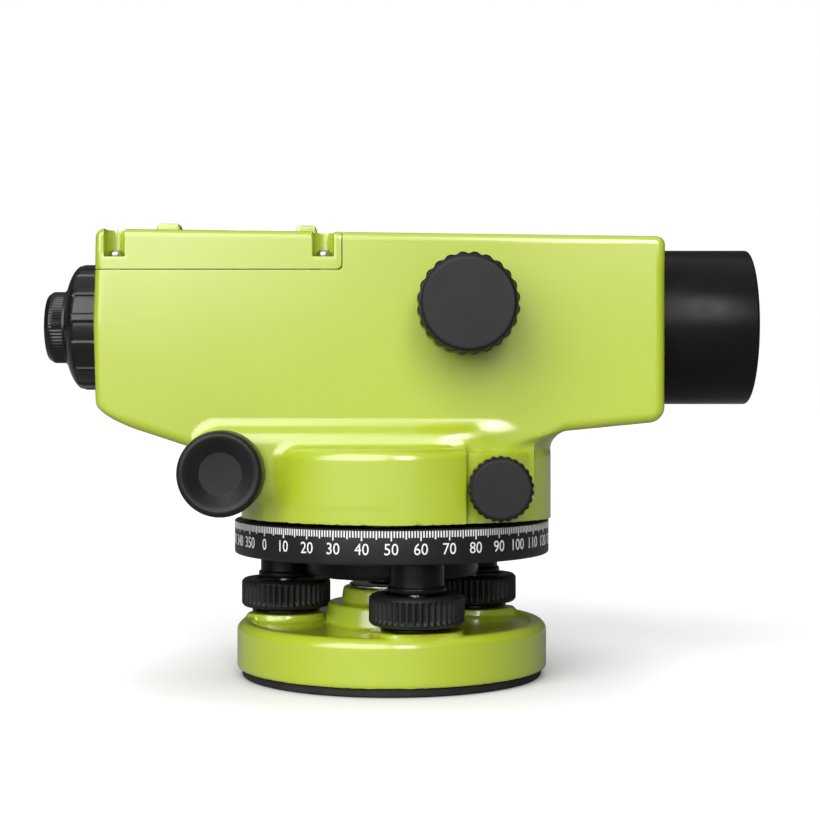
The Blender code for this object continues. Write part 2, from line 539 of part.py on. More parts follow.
def make_circular_level():
    x, y = BUBBLE_X, BUBBLE_Y
    bracket = box("level_bracket", (x - 14.5, 33.3, 94.0), (x + 14.5, 35.6, 133.4), GREEN)
    join(bracket, hide_tool(box("tool_shelf", (x - 12, 34.5, 94.0), (x + 12, 57.0, 96.6), GREEN)))
    for name, low in (("rear", x - 14.5), ("front", x + 12.3)):
        join(bracket, hide_tool(box(f"tool_lug_{name}", (low, 34.5, 128.2), (low + 2.2, 40.3, 133.4), GREEN)))
    cut(bracket, disc_tool("tool_mirror_hole", (x, MIRROR_Y, MIRROR_Z), 1.3, -20, 20, "X", 12))
    cup = [(0, 96.9), (10.4, 96.9), (10.4, 105.0), (9.7, 105.8), (8.8, 105.8), (8.8, 99.4), (0, 99.4)]
    turned("bubble_cup", cup, BLACK_METAL, at=(x, y, 0), segments=20)
    vial = [(0, 99.7), (8.5, 99.7), (8.5, 105.0), (6.0, 106.0), (0, 106.4)]
    turned("bubble_vial", vial, GLASS, at=(x, y, 0), segments=16)
    frame = box("mirror_frame", (-11.8, -1.1, -1.1), (11.8, 1.1, 1.1), BLACK, at=(x, MIRROR_Y, MIRROR_Z))
    tilt = Matrix.Rotation(math.radians(-42), 4, "X")
    plate = hide_tool(box("tool_mirror_plate", (-11.8, -0.6, -1.2), (11.8, 22.0, 1.2), BLACK,
                          at=(x, MIRROR_Y, MIRROR_Z)))
    plate.rotation_euler = tilt.to_euler()
    recess = hide_tool(box("tool_mirror_recess", (-10.3, 3.0, -2.0), (10.3, 20.6, -0.2), BLACK,
                           at=(x, MIRROR_Y, MIRROR_Z)))
    recess.rotation_euler = tilt.to_euler()
    join(frame, plate, disc_tool("tool_mirror_pin", (x, MIRROR_Y, MIRROR_Z), 1.0, -14.4, 14.4, "X", 12))
    cut(frame, recess)
    glass = box("mirror_glass", (-10.0, 3.3, -1.2), (10.0, 20.3, -0.5), MIRROR, at=(x, MIRROR_Y, MIRROR_Z))
    glass.rotation_euler = tilt.to_euler()


clear_scene()
AXIS = vertical_axis()
FOOT_PLACES = [(FOOT_CIRCLE_RADIUS * math.cos(a), FOOT_CIRCLE_RADIUS * math.sin(a)) for a in FOOT_ANGLES]
make_base()
make_foot_screws()
make_head()
make_drive()
make_clamp()
make_housing()
make_cover()
make_bearing()
make_objective()
make_focus()
make_eyepiece()
make_compensator()
make_circular_level()
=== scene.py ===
"""Looks of an automatic level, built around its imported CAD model.

Lengths are millimetres counted from the instrument's vertical axis, with +X towards the objective
and +Z up. Each finished mesh is scaled to metres and set on that axis. A field is a function of
x, y, z that is negative inside a solid, and contour() makes the mesh of its zero surface.
"""

import math

import bmesh
import bpy
import numpy as np
from mathutils import Matrix, Vector


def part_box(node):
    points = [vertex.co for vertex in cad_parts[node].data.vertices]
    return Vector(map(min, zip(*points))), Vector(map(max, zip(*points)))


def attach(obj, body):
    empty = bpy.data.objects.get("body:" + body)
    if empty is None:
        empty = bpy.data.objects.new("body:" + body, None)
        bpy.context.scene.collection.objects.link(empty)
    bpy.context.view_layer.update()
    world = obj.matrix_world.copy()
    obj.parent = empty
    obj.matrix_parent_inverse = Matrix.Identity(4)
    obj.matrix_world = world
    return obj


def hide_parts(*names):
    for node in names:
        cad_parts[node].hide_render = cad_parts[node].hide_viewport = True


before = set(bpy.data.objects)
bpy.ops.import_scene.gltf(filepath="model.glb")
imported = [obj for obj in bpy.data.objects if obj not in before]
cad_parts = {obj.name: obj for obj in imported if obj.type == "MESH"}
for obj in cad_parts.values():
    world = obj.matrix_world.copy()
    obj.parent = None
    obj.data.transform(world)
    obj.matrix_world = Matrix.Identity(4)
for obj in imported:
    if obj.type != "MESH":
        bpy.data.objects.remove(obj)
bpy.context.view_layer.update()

MM = 0.001
spindle_low, spindle_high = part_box("vertical_spindle")
AXIS = Vector(((spindle_low.x + spindle_high.x) / 2, (spindle_low.y + spindle_high.y) / 2, 0))


def node_box(node):
    """Lowest and highest corner of a CAD node, in millimetres from the vertical axis."""
    low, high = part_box(node)
    return (low - AXIS) / MM, (high - AXIS) / MM


def centre(node):
    low, high = node_box(node)
    return (low + high) / 2


# Air between pieces that are screwed together
GAP = 0.3

# Places and driving sizes, read from the frame
OPTICAL_Z = centre("objective_barrel").z
FOCUS = centre("focus_knob")
DRIVE = centre("drive_shaft")
CLAMP = centre("clamp_screw")
FEET = [centre(f"foot_spindle_{k}") for k in (1, 2, 3)]
COVER_SCREWS = [centre(f"cover_screw_{k}") for k in (1, 2, 3, 4)]
BUBBLE = centre("bubble_cup")
BODY_REAR_X = node_box("housing")[0].x
BODY_FRONT_X = node_box("housing")[1].x
BLOCK_BOTTOM_Z = node_box("housing")[0].z
COVER_SEAM_X = node_box("top_cover")[1].x + GAP / 2
COVER_SEAM_Z = node_box("top_cover")[0].z - GAP / 2
BARREL_FRONT_X = node_box("objective_barrel")[1].x
CIRCLE_TOP_Z = node_box("horizontal_circle")[1].z
CIRCLE_BOTTOM_Z = node_box("horizontal_circle")[0].z
CIRCLE_RADIUS = node_box("horizontal_circle")[1].x

# Sizes of the castings
BODY_TOP_REAR_Z = 143.8
BODY_TOP_FRONT_Z = 141.4
BODY_HALF_WIDTH = 33.0
BODY_WALL = 2.6
BODY_MIDDLE_Z = 114.0
BLOCK_REAR_X = -48.5
BLOCK_FRONT_X = 51.3
DRUM_RADIUS = 50.2
DRUM_TOP_Z = 75.5
DRUM_END_X = 23.4
CHEEK_CENTRE = (18.0, 8.0)
CHEEK_RADIUS = 34.5
CHEEK_TOP_Z = 74.2
SHOULDER_REAR_X = -61.5
SHOULDER_FRONT_X = 45.0
SHOULDER_Y = 36.5
SHOULDER_TOP_Z = 82.8
REAR_CONE_RADIUS = 51.3
REAR_CONE_SLOPE = 1.5
BLOCK_HOLLOW_Z = 59.6
POCKET_FLOOR_Z = 135.0
POCKET_RADIUS = 3.3
PILLAR_RADIUS = 4.3
SCREW_HOLE_RADIUS = 1.7
SIGHT_FOOT_Z = 142.4
SIGHT_BASE_Z = 141.6

# Sizes of the base, the foot screws and the head
BASE_RADIUS = 50.9
BASE_RIM_Z = 17.9
BASE_CHAMFER_Z = 16.0
BASE_SUNK_RADIUS = 45.6
BASE_SUNK_Z = 16.6
PAD_RADIUS = 14.4
PAD_LIMIT_RADIUS = 48.8
PAD_TOP_Z = 19.0
BUSH_RADIUS = 10.6
BALL_Z = 16.3
BALL_RADIUS = 4.0
FOOT_KNOB_RADIUS = 14.9
FOOT_RIBS = 44
HEAD_RADIUS = 47.4
HUB_RADIUS = 28.5

# The graduated circle
FRONT_READING = 49.6
NUMERAL_HEIGHT = 3.5
NUMERAL_LOW_Z = 43.5
TICK_HALF_WIDTH = 0.21
INK = 0.06
INDEX_X = 34.5

# Knobs and eyepiece
FOCUS_KNOB_BACK_Y = -36.4
FOCUS_SCALLOPS = 24
DRIVE_KNOB_BACK_Y = -43.4
DRIVE_SCALLOPS = 26
SCALLOP_POWER = 1.5
COLLAR_FLUTES = 14
DIOPTRE_RIBS = 66
DIOPTRE_RADIUS = 11.75

# Strengths of the light, with its bands in degrees: azimuth to the right of the camera's side and
# elevation above the table, as where a band starts, is full, stops being full and ends
AMBIENT = 0.09
CEILING = 0.55
CEILING_ELEVATION = (45, 62, 91, 92)
SOFTBOX = 4.55
SOFTBOX_AZIMUTH = (-62, -46, -10, 3)
SOFTBOX_ELEVATION = (1.5, 3.8, 50, 64)
STRIP = 12.0
STRIP_AZIMUTH = (2, 6, 14, 20)
STRIP_ELEVATION = (0, 22, 34, 50)
FLOOR_WHITE = 0.90
FLOOR_GLOW = 0.40
FLOOR_BOUNCE = 0.38
# Reach in metres of the painted contact shadow on the floor
FLOOR_SHADE_M = 0.07

# Camera
FOCAL_LENGTH_MM = 76.6
SENSOR_MM = 36.0
CAMERA_BACK_MM = 577.0
CAMERA_RIGHT_MM = 6.0
CAMERA_HEIGHT_MM = 93.0
CAMERA_DIP_DEG = 0.62


# ---------------------------------------------------------------- meshes from fields

def half_plane(u, v, start, end):
    """Signed distance to the line from start to end, negative on its left."""
    du, dv = end[0] - start[0], end[1] - start[1]
    length = math.hypot(du, dv)
    return (u - start[0]) * dv / length - (v - start[1]) * du / length


def round_max(a, b, radius):
    """What two fields share, with a convex edge of that radius."""
    corner = np.hypot(np.maximum(a + radius, 0), np.maximum(b + radius, 0))
    return np.minimum(-radius, np.maximum(a, b)) + corner


def round_min(a, b, radius):
    """Two fields joined, with a concave fillet of that radius."""
    return -round_max(-a, -b, radius)


def all_of(*fields):
    found = fields[0]
    for field in fields[1:]:
        found = np.maximum(found, field)
    return found


def ease(value):
    """0 below 0, 1 above 1, and a smooth step between them."""
    t = np.clip(value, 0, 1)
    return t * t * (3 - 2 * t)


def part_of(distance, length):
    """How far along a run of that length a distance is, from 0 to 1."""
    return min(1.0, max(0.0, distance / length))


def gradient(field, points, step=0.02):
    slopes = np.empty_like(points)
    for axis in range(3):
        shift = np.zeros(3)
        shift[axis] = step
        ahead, behind = (points + shift).T, (points - shift).T
        slopes[:, axis] = (field(*ahead) - field(*behind)) / (2 * step)
    return slopes


def crossings(field, values, low, cell, axis):
    """Where grid lines along the axis pass the surface: the places, the normals there, the four cells
    round each, and whether the line leaves the solid."""
    step = np.eye(3, dtype=int)[axis]
    inside = values < 0
    first = np.take(inside, range(inside.shape[axis] - 1), axis)
    second = np.take(inside, range(1, inside.shape[axis]), axis)
    index = np.argwhere(first != second)
    near = values[tuple(index.T)]
    far = values[tuple((index + step).T)]
    share = near / (near - far)
    places = low + cell * (index + share[:, None] * step)
    normals = gradient(field, places)
    along = normals[:, axis]
    safe = np.where(np.abs(along) > 0.3, along, np.inf)
    miss = field(*places.T) / safe
    share = np.clip(share - miss / cell, 0, 1)
    places = low + cell * (index + share[:, None] * step)
    normals /= np.linalg.norm(normals, axis=1)[:, None] + 1e-12
    across, up = np.roll(step, 1), np.roll(step, 2)
    around = [index, index - across, index - across - up, index - up]
    return places, normals, around, near < 0


def contour(field, low, high, cell):
    """Vertices and quads of the field's surface, one vertex a cell, crisp where two faces meet."""
    low = np.array(low, float)
    counts = np.ceil((np.array(high) - low) / cell).astype(int) + 1
    lines = [low[k] + cell * np.arange(counts[k]) for k in range(3)]
    values = field(lines[0][:, None, None], lines[1][None, :, None], lines[2][None, None, :])
    values = np.array(np.broadcast_to(values, counts))
    total = int(np.prod(counts))
    sums = np.zeros((13, total))
    quads = []
    for axis in range(3):
        places, normals, around, outward = crossings(field, values, low, cell, axis)
        height = (places * normals).sum(1)
        terms = [normals[:, 0] ** 2, normals[:, 0] * normals[:, 1], normals[:, 0] * normals[:, 2],
                 normals[:, 1] ** 2, normals[:, 1] * normals[:, 2], normals[:, 2] ** 2,
                 normals[:, 0] * height, normals[:, 1] * height, normals[:, 2] * height,
                 places[:, 0], places[:, 1], places[:, 2], np.ones(len(places))]
        ids = [np.ravel_multi_index(cells.T, counts) for cells in around]
        for cells in ids:
            for k, term in enumerate(terms):
                sums[k] += np.bincount(cells, term, total)
        quad = np.stack(ids, 1)
        quads.append(np.where(outward[:, None], quad, quad[:, ::-1]))
    used = np.flatnonzero(sums[12])
    kept = sums[:, used]
    weight = kept[12]
    mean = (kept[9:12] / weight).T
    square = kept[[0, 1, 2, 1, 3, 4, 2, 4, 5]].T.reshape(-1, 3, 3)
    pull = kept[6:9].T - np.einsum("nij,nj->ni", square, mean)
    soft = 0.01 * weight[:, None, None] * np.eye(3)
    vertices = mean + np.linalg.solve(square + soft, pull[:, :, None])[:, :, 0]
    corner = low + cell * np.stack(np.unravel_index(used, counts), 1)
    vertices = np.clip(vertices, corner, corner + cell)
    number = np.zeros(total, int)
    number[used] = np.arange(len(used))
    return vertices, number[np.concatenate(quads)]


# ---------------------------------------------------------------- objects

def place_mesh(name, vertices, faces, look, body, replaced=(), crease=38):
    """Millimetres about the vertical axis become a smooth-shaded object that rides on a CAD body."""
    mesh = bpy.data.meshes.new(name)
    scaled = np.asarray(vertices, float) * MM + np.array(AXIS)
    mesh.from_pydata(scaled.tolist(), [], [list(face) for face in faces])
    mesh.update()
    mesh.shade_smooth()
    mesh.set_sharp_from_angle(angle=math.radians(crease))
    mesh.materials.append(look)
    obj = bpy.data.objects.new(name, mesh)
    bpy.context.scene.collection.objects.link(obj)
    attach(obj, body)
    if replaced:
        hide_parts(*replaced)
    return obj


def cast(name, field, node, cell, slot, body, margin=2):
    """The surface of a field in place of a CAD node, worked out on cells of that size."""
    low, high = node_box(node)
    room = Vector((margin, margin, margin))
    vertices, quads = contour(field, low - room, high + room, cell)
    place_mesh(name, vertices, quads.tolist(), LOOKS[slot], body, [node])


def rounded_path(points, steps=4):
    """Points (u, v, radius) joined by straight runs, with an arc of that radius at each inner corner."""
    path = [np.array(points[0][:2], float)]
    for before, here, after in zip(points, points[1:], points[2:]):
        corner = np.array(here[:2], float)
        radius = here[2] if len(here) > 2 else 0
        back = np.array(before[:2], float) - corner
        ahead = np.array(after[:2], float) - corner
        back_length, ahead_length = np.linalg.norm(back), np.linalg.norm(ahead)
        if radius <= 0 or min(back_length, ahead_length) < 1e-6:
            path.append(corner)
            continue
        back, ahead = back / back_length, ahead / ahead_length
        half = math.acos(float(np.clip(back @ ahead, -1, 1))) / 2
        if half > math.radians(88):
            path.append(corner)
            continue
        reach = min(radius / math.tan(half), 0.49 * back_length, 0.49 * ahead_length)
        middle = corner + (back + ahead) / np.linalg.norm(back + ahead) * reach / math.cos(half)
        start, end = corner + back * reach - middle, corner + ahead * reach - middle
        sweep = math.pi - 2 * half
        turn = math.copysign(sweep, start[0] * end[1] - start[1] * end[0])
        for k in range(steps + 1):
            c, s = math.cos(turn * k / steps), math.sin(turn * k / steps)
            path.append(middle + np.array((c * start[0] - s * start[1], s * start[0] + c * start[1])))
    path.append(np.array(points[-1][:2], float))
    return path


def densify(path, step):
    """The same path with no run longer than step."""
    points = [path[0]]
    for one, two in zip(path, path[1:]):
        count = max(1, math.ceil(np.linalg.norm(two - one) / step))
        points += [one + (two - one) * k / count for k in range(1, count + 1)]
    return points


def lathe(name, profile, axis, at, look, body, replaced=(), segments=96, ripple=None,
          step=None):
    """A turned piece. profile is (radius, place along the axis, edge radius) round the section, and one
    that starts and ends on the axis is solid. ripple(angle, radius, along) adds to the radius."""
    solid = profile[0][0] == 0
    path = rounded_path(profile if solid else profile + [profile[0]])
    if not solid:
        path = path[:-1]
    if step:
        path = densify(path, step)
    vertices, rings = [], []
    for radius, along in path:
        count = 1 if radius < 1e-6 else segments
        rings.append(range(len(vertices), len(vertices) + count))
        for k in range(count):
            angle = 2 * math.pi * k / segments
            r = radius + (ripple(angle, radius, along) if ripple and count > 1 else 0)
            u, v = r * math.cos(angle), r * math.sin(angle)
            x, y, z = {"X": (along, u, v), "Y": (u, along, v), "Z": (u, v, along)}[axis]
            vertices.append((x + at[0], y + at[1], z + at[2]))
    pairs = list(zip(rings, rings[1:])) + ([] if solid else [(rings[-1], rings[0])])
    faces = []
    for one, two in pairs:
        for k in range(segments):
            n = (k + 1) % segments
            corners = (one[k % len(one)], one[n % len(one)], two[n % len(two)], two[k % len(two)])
            corners = list(dict.fromkeys(corners))
            if len(corners) > 2:
                faces.append(corners)
    face_outward(place_mesh(name, vertices, faces, look, body, replaced))


def face_outward(obj):
    data = bmesh.new()
    data.from_mesh(obj.data)
    bmesh.ops.recalc_face_normals(data, faces=data.faces)
    data.to_mesh(obj.data)
    data.free()


def block(name, low, high, edge, look, body, replaced=(), turn=None, pivot=None):
    """A box from corner to corner with rounded edges, turned about a pivot if one is given."""
    data = bmesh.new()
    bmesh.ops.create_cube(data, size=1.0)
    low, high = Vector(low), Vector(high)
    bmesh.ops.scale(data, vec=high - low, verts=data.verts)
    bmesh.ops.translate(data, vec=(low + high) / 2, verts=data.verts)
    bmesh.ops.bevel(data, geom=list(data.edges), offset=edge, segments=3, profile=0.5, affect="EDGES")
    if turn:
        bmesh.ops.rotate(data, cent=Vector(pivot), matrix=turn, verts=data.verts)
    data.verts.ensure_lookup_table()
    vertices = [tuple(vert.co) for vert in data.verts]
    faces = [[vert.index for vert in face.verts] for face in data.faces]
    data.free()
    place_mesh(name, vertices, faces, look, body, replaced, 30)


# ---------------------------------------------------------------- materials

class Look:
    """A material made of nodes, with short ways to add the ones used here."""

    def __init__(self, name):
        self.material = bpy.data.materials.new(name)
        self.material.use_nodes = True
        self.tree = self.material.node_tree
        self.shader = self.tree.nodes["Principled BSDF"]
        self.place = self.tree.nodes.new("ShaderNodeTexCoord").outputs["Object"]

    def set(self, **values):
        for name, value in values.items():
            self.shader.inputs[name.replace("_", " ")].default_value = value

    def link(self, output, target):
        self.tree.links.new(output, target)

    def noise(self, size_mm, detail=2.0, stretch=None):
        """Noise between 0 and 1 whose features are about size_mm across."""
        node = self.tree.nodes.new("ShaderNodeTexNoise")
        node.inputs["Scale"].default_value = 1.0 / (size_mm * MM)
        node.inputs["Detail"].default_value = detail
        source = self.place
        if stretch:
            mapping = self.tree.nodes.new("ShaderNodeMapping")
            mapping.inputs["Scale"].default_value = stretch
            self.link(self.place, mapping.inputs["Vector"])
            source = mapping.outputs["Vector"]
        self.link(source, node.inputs["Vector"])
        return node.outputs["Fac"]

    def range(self, source, low, high, start=0.3, end=0.7):
        node = self.tree.nodes.new("ShaderNodeMapRange")
        node.inputs["From Min"].default_value = start
        node.inputs["From Max"].default_value = end
        node.inputs["To Min"].default_value = low
        node.inputs["To Max"].default_value = high
        self.link(source, node.inputs["Value"])
        return node.outputs["Result"]

    def ramp(self, source, *stops):
        node = self.tree.nodes.new("ShaderNodeValToRGB")
        elements = node.color_ramp.elements
        while len(elements) < len(stops):
            elements.new(0.5)
        for element, (place, colour) in zip(elements, stops):
            element.position = place
            element.color = (*colour, 1.0)
        self.link(source, node.inputs["Fac"])
        return node.outputs["Color"]

    def bump(self, source, height_mm, under=None):
        node = self.tree.nodes.new("ShaderNodeBump")
        node.inputs["Strength"].default_value = 1.0
        node.inputs["Distance"].default_value = height_mm * MM
        self.link(source, node.inputs["Height"])
        if under:
            self.link(under, node.inputs["Normal"])
        self.link(node.outputs["Normal"], self.shader.inputs["Normal"])
        return node.outputs["Normal"]

    def colour(self, source):
        self.link(source, self.shader.inputs["Base Color"])

    def mottle(self, size_mm, detail, dark, pale):
        """A colour that drifts between two close ones."""
        self.colour(self.ramp(self.noise(size_mm, detail), (0.3, dark), (0.7, pale)))

    def roughness(self, source):
        self.link(source, self.shader.inputs["Roughness"])


def lime_paint():
    look = Look("lime_paint")
    look.set(Specular_IOR_Level=0.5, Coat_Weight=1.0, Coat_Roughness=0.15, Coat_IOR=1.65)
    look.mottle(26.0, 3.0, (0.385, 0.480, 0.019), (0.395, 0.490, 0.021))
    look.roughness(look.range(look.noise(7.0, 4.0), 0.30, 0.38))
    peel = look.bump(look.noise(1.6, 1.0), 0.004)
    look.bump(look.noise(0.35, 1.0), 0.0010, peel)
    return look.material


def knob_plastic():
    look = Look("knob_plastic")
    look.set(Specular_IOR_Level=0.28)
    look.mottle(9.0, 4.0, (0.0075, 0.0075, 0.0080), (0.0105, 0.0105, 0.0110))
    look.roughness(look.range(look.noise(3.0, 3.0), 0.38, 0.46))
    look.bump(look.noise(0.30, 2.0), 0.008)
    return look.material


def glossy_plastic():
    look = Look("glossy_plastic")
    look.set(Specular_IOR_Level=0.45)
    look.mottle(9.0, 3.0, (0.0030, 0.0030, 0.0032), (0.0045, 0.0045, 0.0047))
    look.roughness(look.range(look.noise(4.0, 3.0), 0.20, 0.26))
    look.bump(look.noise(0.40, 2.0), 0.003)
    return look.material


def black_metal():
    look = Look("black_metal")
    look.set(Specular_IOR_Level=0.15)
    look.mottle(14.0, 3.0, (0.0035, 0.0035, 0.0037), (0.0050, 0.0050, 0.0052))
    look.roughness(look.range(look.noise(5.0, 3.0), 0.26, 0.32))
    look.bump(look.noise(0.22, 1.0), 0.002)
    return look.material


def steel():
    look = Look("steel")
    look.set(Metallic=1.0)
    look.mottle(5.0, 3.0, (0.56, 0.56, 0.57), (0.66, 0.66, 0.66))
    look.roughness(look.range(look.noise(2.0, 3.0), 0.20, 0.34))
    look.bump(look.noise(0.25, 1.0, (1, 1, 8)), 0.002)
    return look.material


def brass():
    look = Look("brass")
    look.set(Metallic=1.0)
    look.mottle(8.0, 3.0, (0.62, 0.46, 0.21), (0.76, 0.58, 0.28))
    look.roughness(look.range(look.noise(3.0, 3.0), 0.24, 0.40))
    look.bump(look.noise(0.3, 1.0), 0.003)
    return look.material


def glass():
    look = Look("glass")
    look.set(Base_Color=(0.97, 0.98, 1.0, 1.0), Transmission_Weight=1.0, IOR=1.5, Coat_Weight=0.3,
             Coat_Tint=(0.55, 0.62, 1.0, 1.0))
    look.roughness(look.range(look.noise(6.0, 2.0), 0.0, 0.02))
    return look.material


def mirror():
    look = Look("mirror")
    look.set(Metallic=1.0)
    look.mottle(6.0, 2.0, (0.88, 0.89, 0.90), (0.93, 0.94, 0.94))
    look.roughness(look.range(look.noise(3.0, 3.0), 0.01, 0.04))
    return look.material


def foot_rubber():
    look = Look("foot_rubber")
    look.set(Specular_IOR_Level=0.3)
    look.mottle(6.0, 4.0, (0.012, 0.012, 0.012), (0.020, 0.020, 0.019))
    look.roughness(look.range(look.noise(2.0, 3.0), 0.62, 0.78))
    look.bump(look.noise(0.5, 2.0), 0.02)
    return look.material


def white_marking():
    look = Look("white_marking")
    look.colour(look.ramp(look.noise(1.2, 3.0), (0.3, (0.70, 0.70, 0.68)), (0.6, (0.82, 0.82, 0.80))))
    look.roughness(look.range(look.noise(1.0, 2.0), 0.45, 0.6))
    return look.material


def level_fluid():
    look = Look("level_fluid")
    look.set(Base_Color=(0.80, 0.95, 0.25, 1.0), Transmission_Weight=1.0, IOR=1.36)
    look.roughness(look.range(look.noise(4.0, 2.0), 0.0, 0.02))
    return look.material


LOOKS = {
    "housing_paint": lime_paint(),
    "knob_plastic": knob_plastic(),
    "black_metal": black_metal(),
    "glossy_plastic": glossy_plastic(),
    "steel": steel(),
    "brass": brass(),
    "glass": glass(),
    "mirror": mirror(),
    "foot_rubber": foot_rubber(),
}
MARKING = white_marking()
FLUID = level_fluid()


# ---------------------------------------------------------------- housing and cover

def top_plane(x, z):
    return half_plane(x, z, (BODY_FRONT_X, BODY_TOP_FRONT_Z), (BODY_REAR_X, BODY_TOP_REAR_Z))


def side_profile(x, z):
    """Side view of the telescope box with the block and the clamp boss below it."""
    under = np.maximum(half_plane(x, z, (-85.9, 83.0), (-64.9, 76.1)),
                       half_plane(x, z, (54.9, 80.5), (80.3, 83.0)))
    rear = np.maximum(half_plane(x, z, (BODY_REAR_X + 1.0, BODY_TOP_REAR_Z), (BODY_REAR_X, BODY_MIDDLE_Z)),
                      half_plane(x, z, (BODY_REAR_X, BODY_MIDDLE_Z), (BODY_REAR_X + 0.7, 88.0)))
    box = round_max(round_max(under, rear, 5.0), x - BODY_FRONT_X, 4.5)
    box = round_max(box, top_plane(x, z), 2.8)
    pillar = all_of(BLOCK_REAR_X - x, x - BLOCK_FRONT_X, z - 90.0)
    boss = np.hypot(x - CLAMP.x, z - CLAMP.z) - 11.3
    return round_min(round_min(box, pillar, 4.0), boss, 3.0)


def corner_radius(x, z, wall=0.0):
    """The edge between side and end faces: small on the box, wide on the front of the block."""
    return 2.9 - 0.8 * ease((z - 130) / 8) + (17.1 - wall) * ease((81.0 - z) / 7) * ease((x - 20) / 10)


def shoulder(x, y, z):
    """The raised bed behind the knobs, with a sloping upper edge that fades out towards the front."""
    outline = round_max(np.maximum(SHOULDER_REAR_X - x, z - SHOULDER_TOP_Z), 57.6 - z, 2.0)
    outline = np.maximum(outline, round_max(SHOULDER_REAR_X - x, z - SHOULDER_TOP_Z, 8.0))
    slope = (np.abs(y) - BODY_HALF_WIDTH + 0.95 * outline) / 1.38
    fade = 0.97 * (np.abs(y) - BODY_HALF_WIDTH) + 0.243 * (x - 36.0)
    bed = round_max(slope, np.abs(y) - SHOULDER_Y, 1.6)
    return all_of(round_max(bed, fade, 2.0), outline, x - SHOULDER_FRONT_X)


def drum(x, y, z):
    """The round part over the circle, which ends at a step beside the drive knobs."""
    turned = round_max(np.hypot(x, y) - DRUM_RADIUS, z - DRUM_TOP_Z, 3.5)
    return all_of(round_max(turned, x - DRUM_END_X, 0.5), -47.0 - x, 20.0 - np.abs(y))


def cheek(x, y, z):
    """The swelling behind each drive knob, set in a little from the drum and rounding away in front."""
    beyond = np.maximum(np.abs(y) - CHEEK_CENTRE[1], 0)
    swelling = np.hypot(x - CHEEK_CENTRE[0], beyond) - CHEEK_RADIUS
    swelling = round_max(swelling, x - BLOCK_FRONT_X, 1.0)
    return np.maximum(round_max(swelling, z - CHEEK_TOP_Z, 1.2), DRUM_END_X - 3.0 - x)


def low_rear(x, y, z):
    """The cone that narrows the rear half of the casting down to the drum's width, scaled to stay near
    a true distance."""
    radius = REAR_CONE_RADIUS + REAR_CONE_SLOPE * np.maximum(z - 57, 0)
    return (np.hypot(x, y) - radius) / 1.8


def casting(x, y, z):
    """The outside of housing and cover together."""
    profile = side_profile(x, z)
    body = round_max(profile, np.abs(y) - BODY_HALF_WIDTH, corner_radius(x, z))
    body = round_min(body, shoulder(x, y, z), 1.5)
    body = round_min(body, drum(x, y, z), 1.8)
    body = round_min(body, cheek(x, y, z), 0.6)
    body = np.where(x < 0, round_max(body, low_rear(x, y, z), 1.0), body)
    return round_max(body, BLOCK_BOTTOM_Z - z, 0.6)


def cover_region(x, z, gap):
    return round_max(x - COVER_SEAM_X + gap, COVER_SEAM_Z - z + gap, 1.4)


def bore(u, v, radius, *ends):
    """A round rod, to be taken away from a solid or kept out of a hollow."""
    return all_of(np.hypot(u, v) - radius, *ends)


def housing(x, y, z):
    """The lower casting: a shell, open at the seam, with its bores and screw pillars."""
    inner = side_profile(x, z) + BODY_WALL
    hollow = round_max(inner, np.abs(y) - BODY_HALF_WIDTH + BODY_WALL, corner_radius(x, z, BODY_WALL))
    hollow = np.maximum(hollow, BLOCK_HOLLOW_Z - z)
    hollow = np.where(x < 0, np.maximum(hollow, low_rear(x, y, z) + BODY_WALL), hollow)
    for screw in COVER_SCREWS:
        pillar = bore(x - screw.x, y - screw.y, PILLAR_RADIUS, 112.0 - z)
        hollow = np.maximum(hollow, -pillar)
    shell = all_of(casting(x, y, z), -hollow, -cover_region(x, z, -GAP / 2))
    optical = z - OPTICAL_Z
    holes = [
        bore(x, y, 30.5, z - 62.0),
        bore(y, optical, 12.4, x + 86.0),
        bore(y, optical, 24.2, 78.0 - x),
        bore(x - FOCUS.x, z - FOCUS.z, 5.5, y + 28.0),
        bore(x - DRIVE.x, z - DRIVE.z, 2.6, 28.0 - np.abs(y)),
        bore(x - CLAMP.x, z - CLAMP.z, 2.4, y + 20.0),
    ]
    holes += [bore(x - screw.x, y - screw.y, SCREW_HOLE_RADIUS, 124.0 - z) for screw in COVER_SCREWS]
    for hole in holes:
        shell = np.maximum(shell, -hole)
    return shell


def sight(x, y, z, at, foot, crest, height):
    """One of the two tabs on the centreline that a rough aim is taken over."""
    reach = crest / 2 + (height - z) * (foot - crest) / 2 / (height - SIGHT_FOOT_Z)
    tab = round_max(np.abs(x - at) - reach, z - height, 0.9)
    return np.maximum(round_max(tab, np.abs(y) - 3.5, 0.9), SIGHT_BASE_Z - z)


def top_cover(x, y, z):
    outside = casting(x, y, z)
    outside = round_min(outside, sight(x, y, z, -73.3, 9.4, 7.0, 148.0), 0.8)
    outside = round_min(outside, sight(x, y, z, -28.1, 8.4, 5.8, 147.4), 0.8)
    inside = all_of(BODY_REAR_X + BODY_WALL - x, np.abs(y) - BODY_HALF_WIDTH + BODY_WALL,
                    top_plane(x, z) + BODY_WALL, x - COVER_SEAM_X + BODY_WALL)
    for screw in COVER_SCREWS:
        inside = np.maximum(inside, PILLAR_RADIUS + 0.1 - np.hypot(x - screw.x, y - screw.y))
    cover = all_of(outside, cover_region(x, z, GAP / 2), -inside)
    for screw in COVER_SCREWS:
        beyond = np.maximum((y - screw.y) * math.copysign(1, -screw.y), 0)
        pocket = all_of(np.hypot(x - screw.x, beyond) - POCKET_RADIUS, POCKET_FLOOR_Z - z)
        cover = round_max(cover, -pocket, 0.35)
        cover = np.maximum(cover, -bore(x - screw.x, y - screw.y, SCREW_HOLE_RADIUS))
    return cover


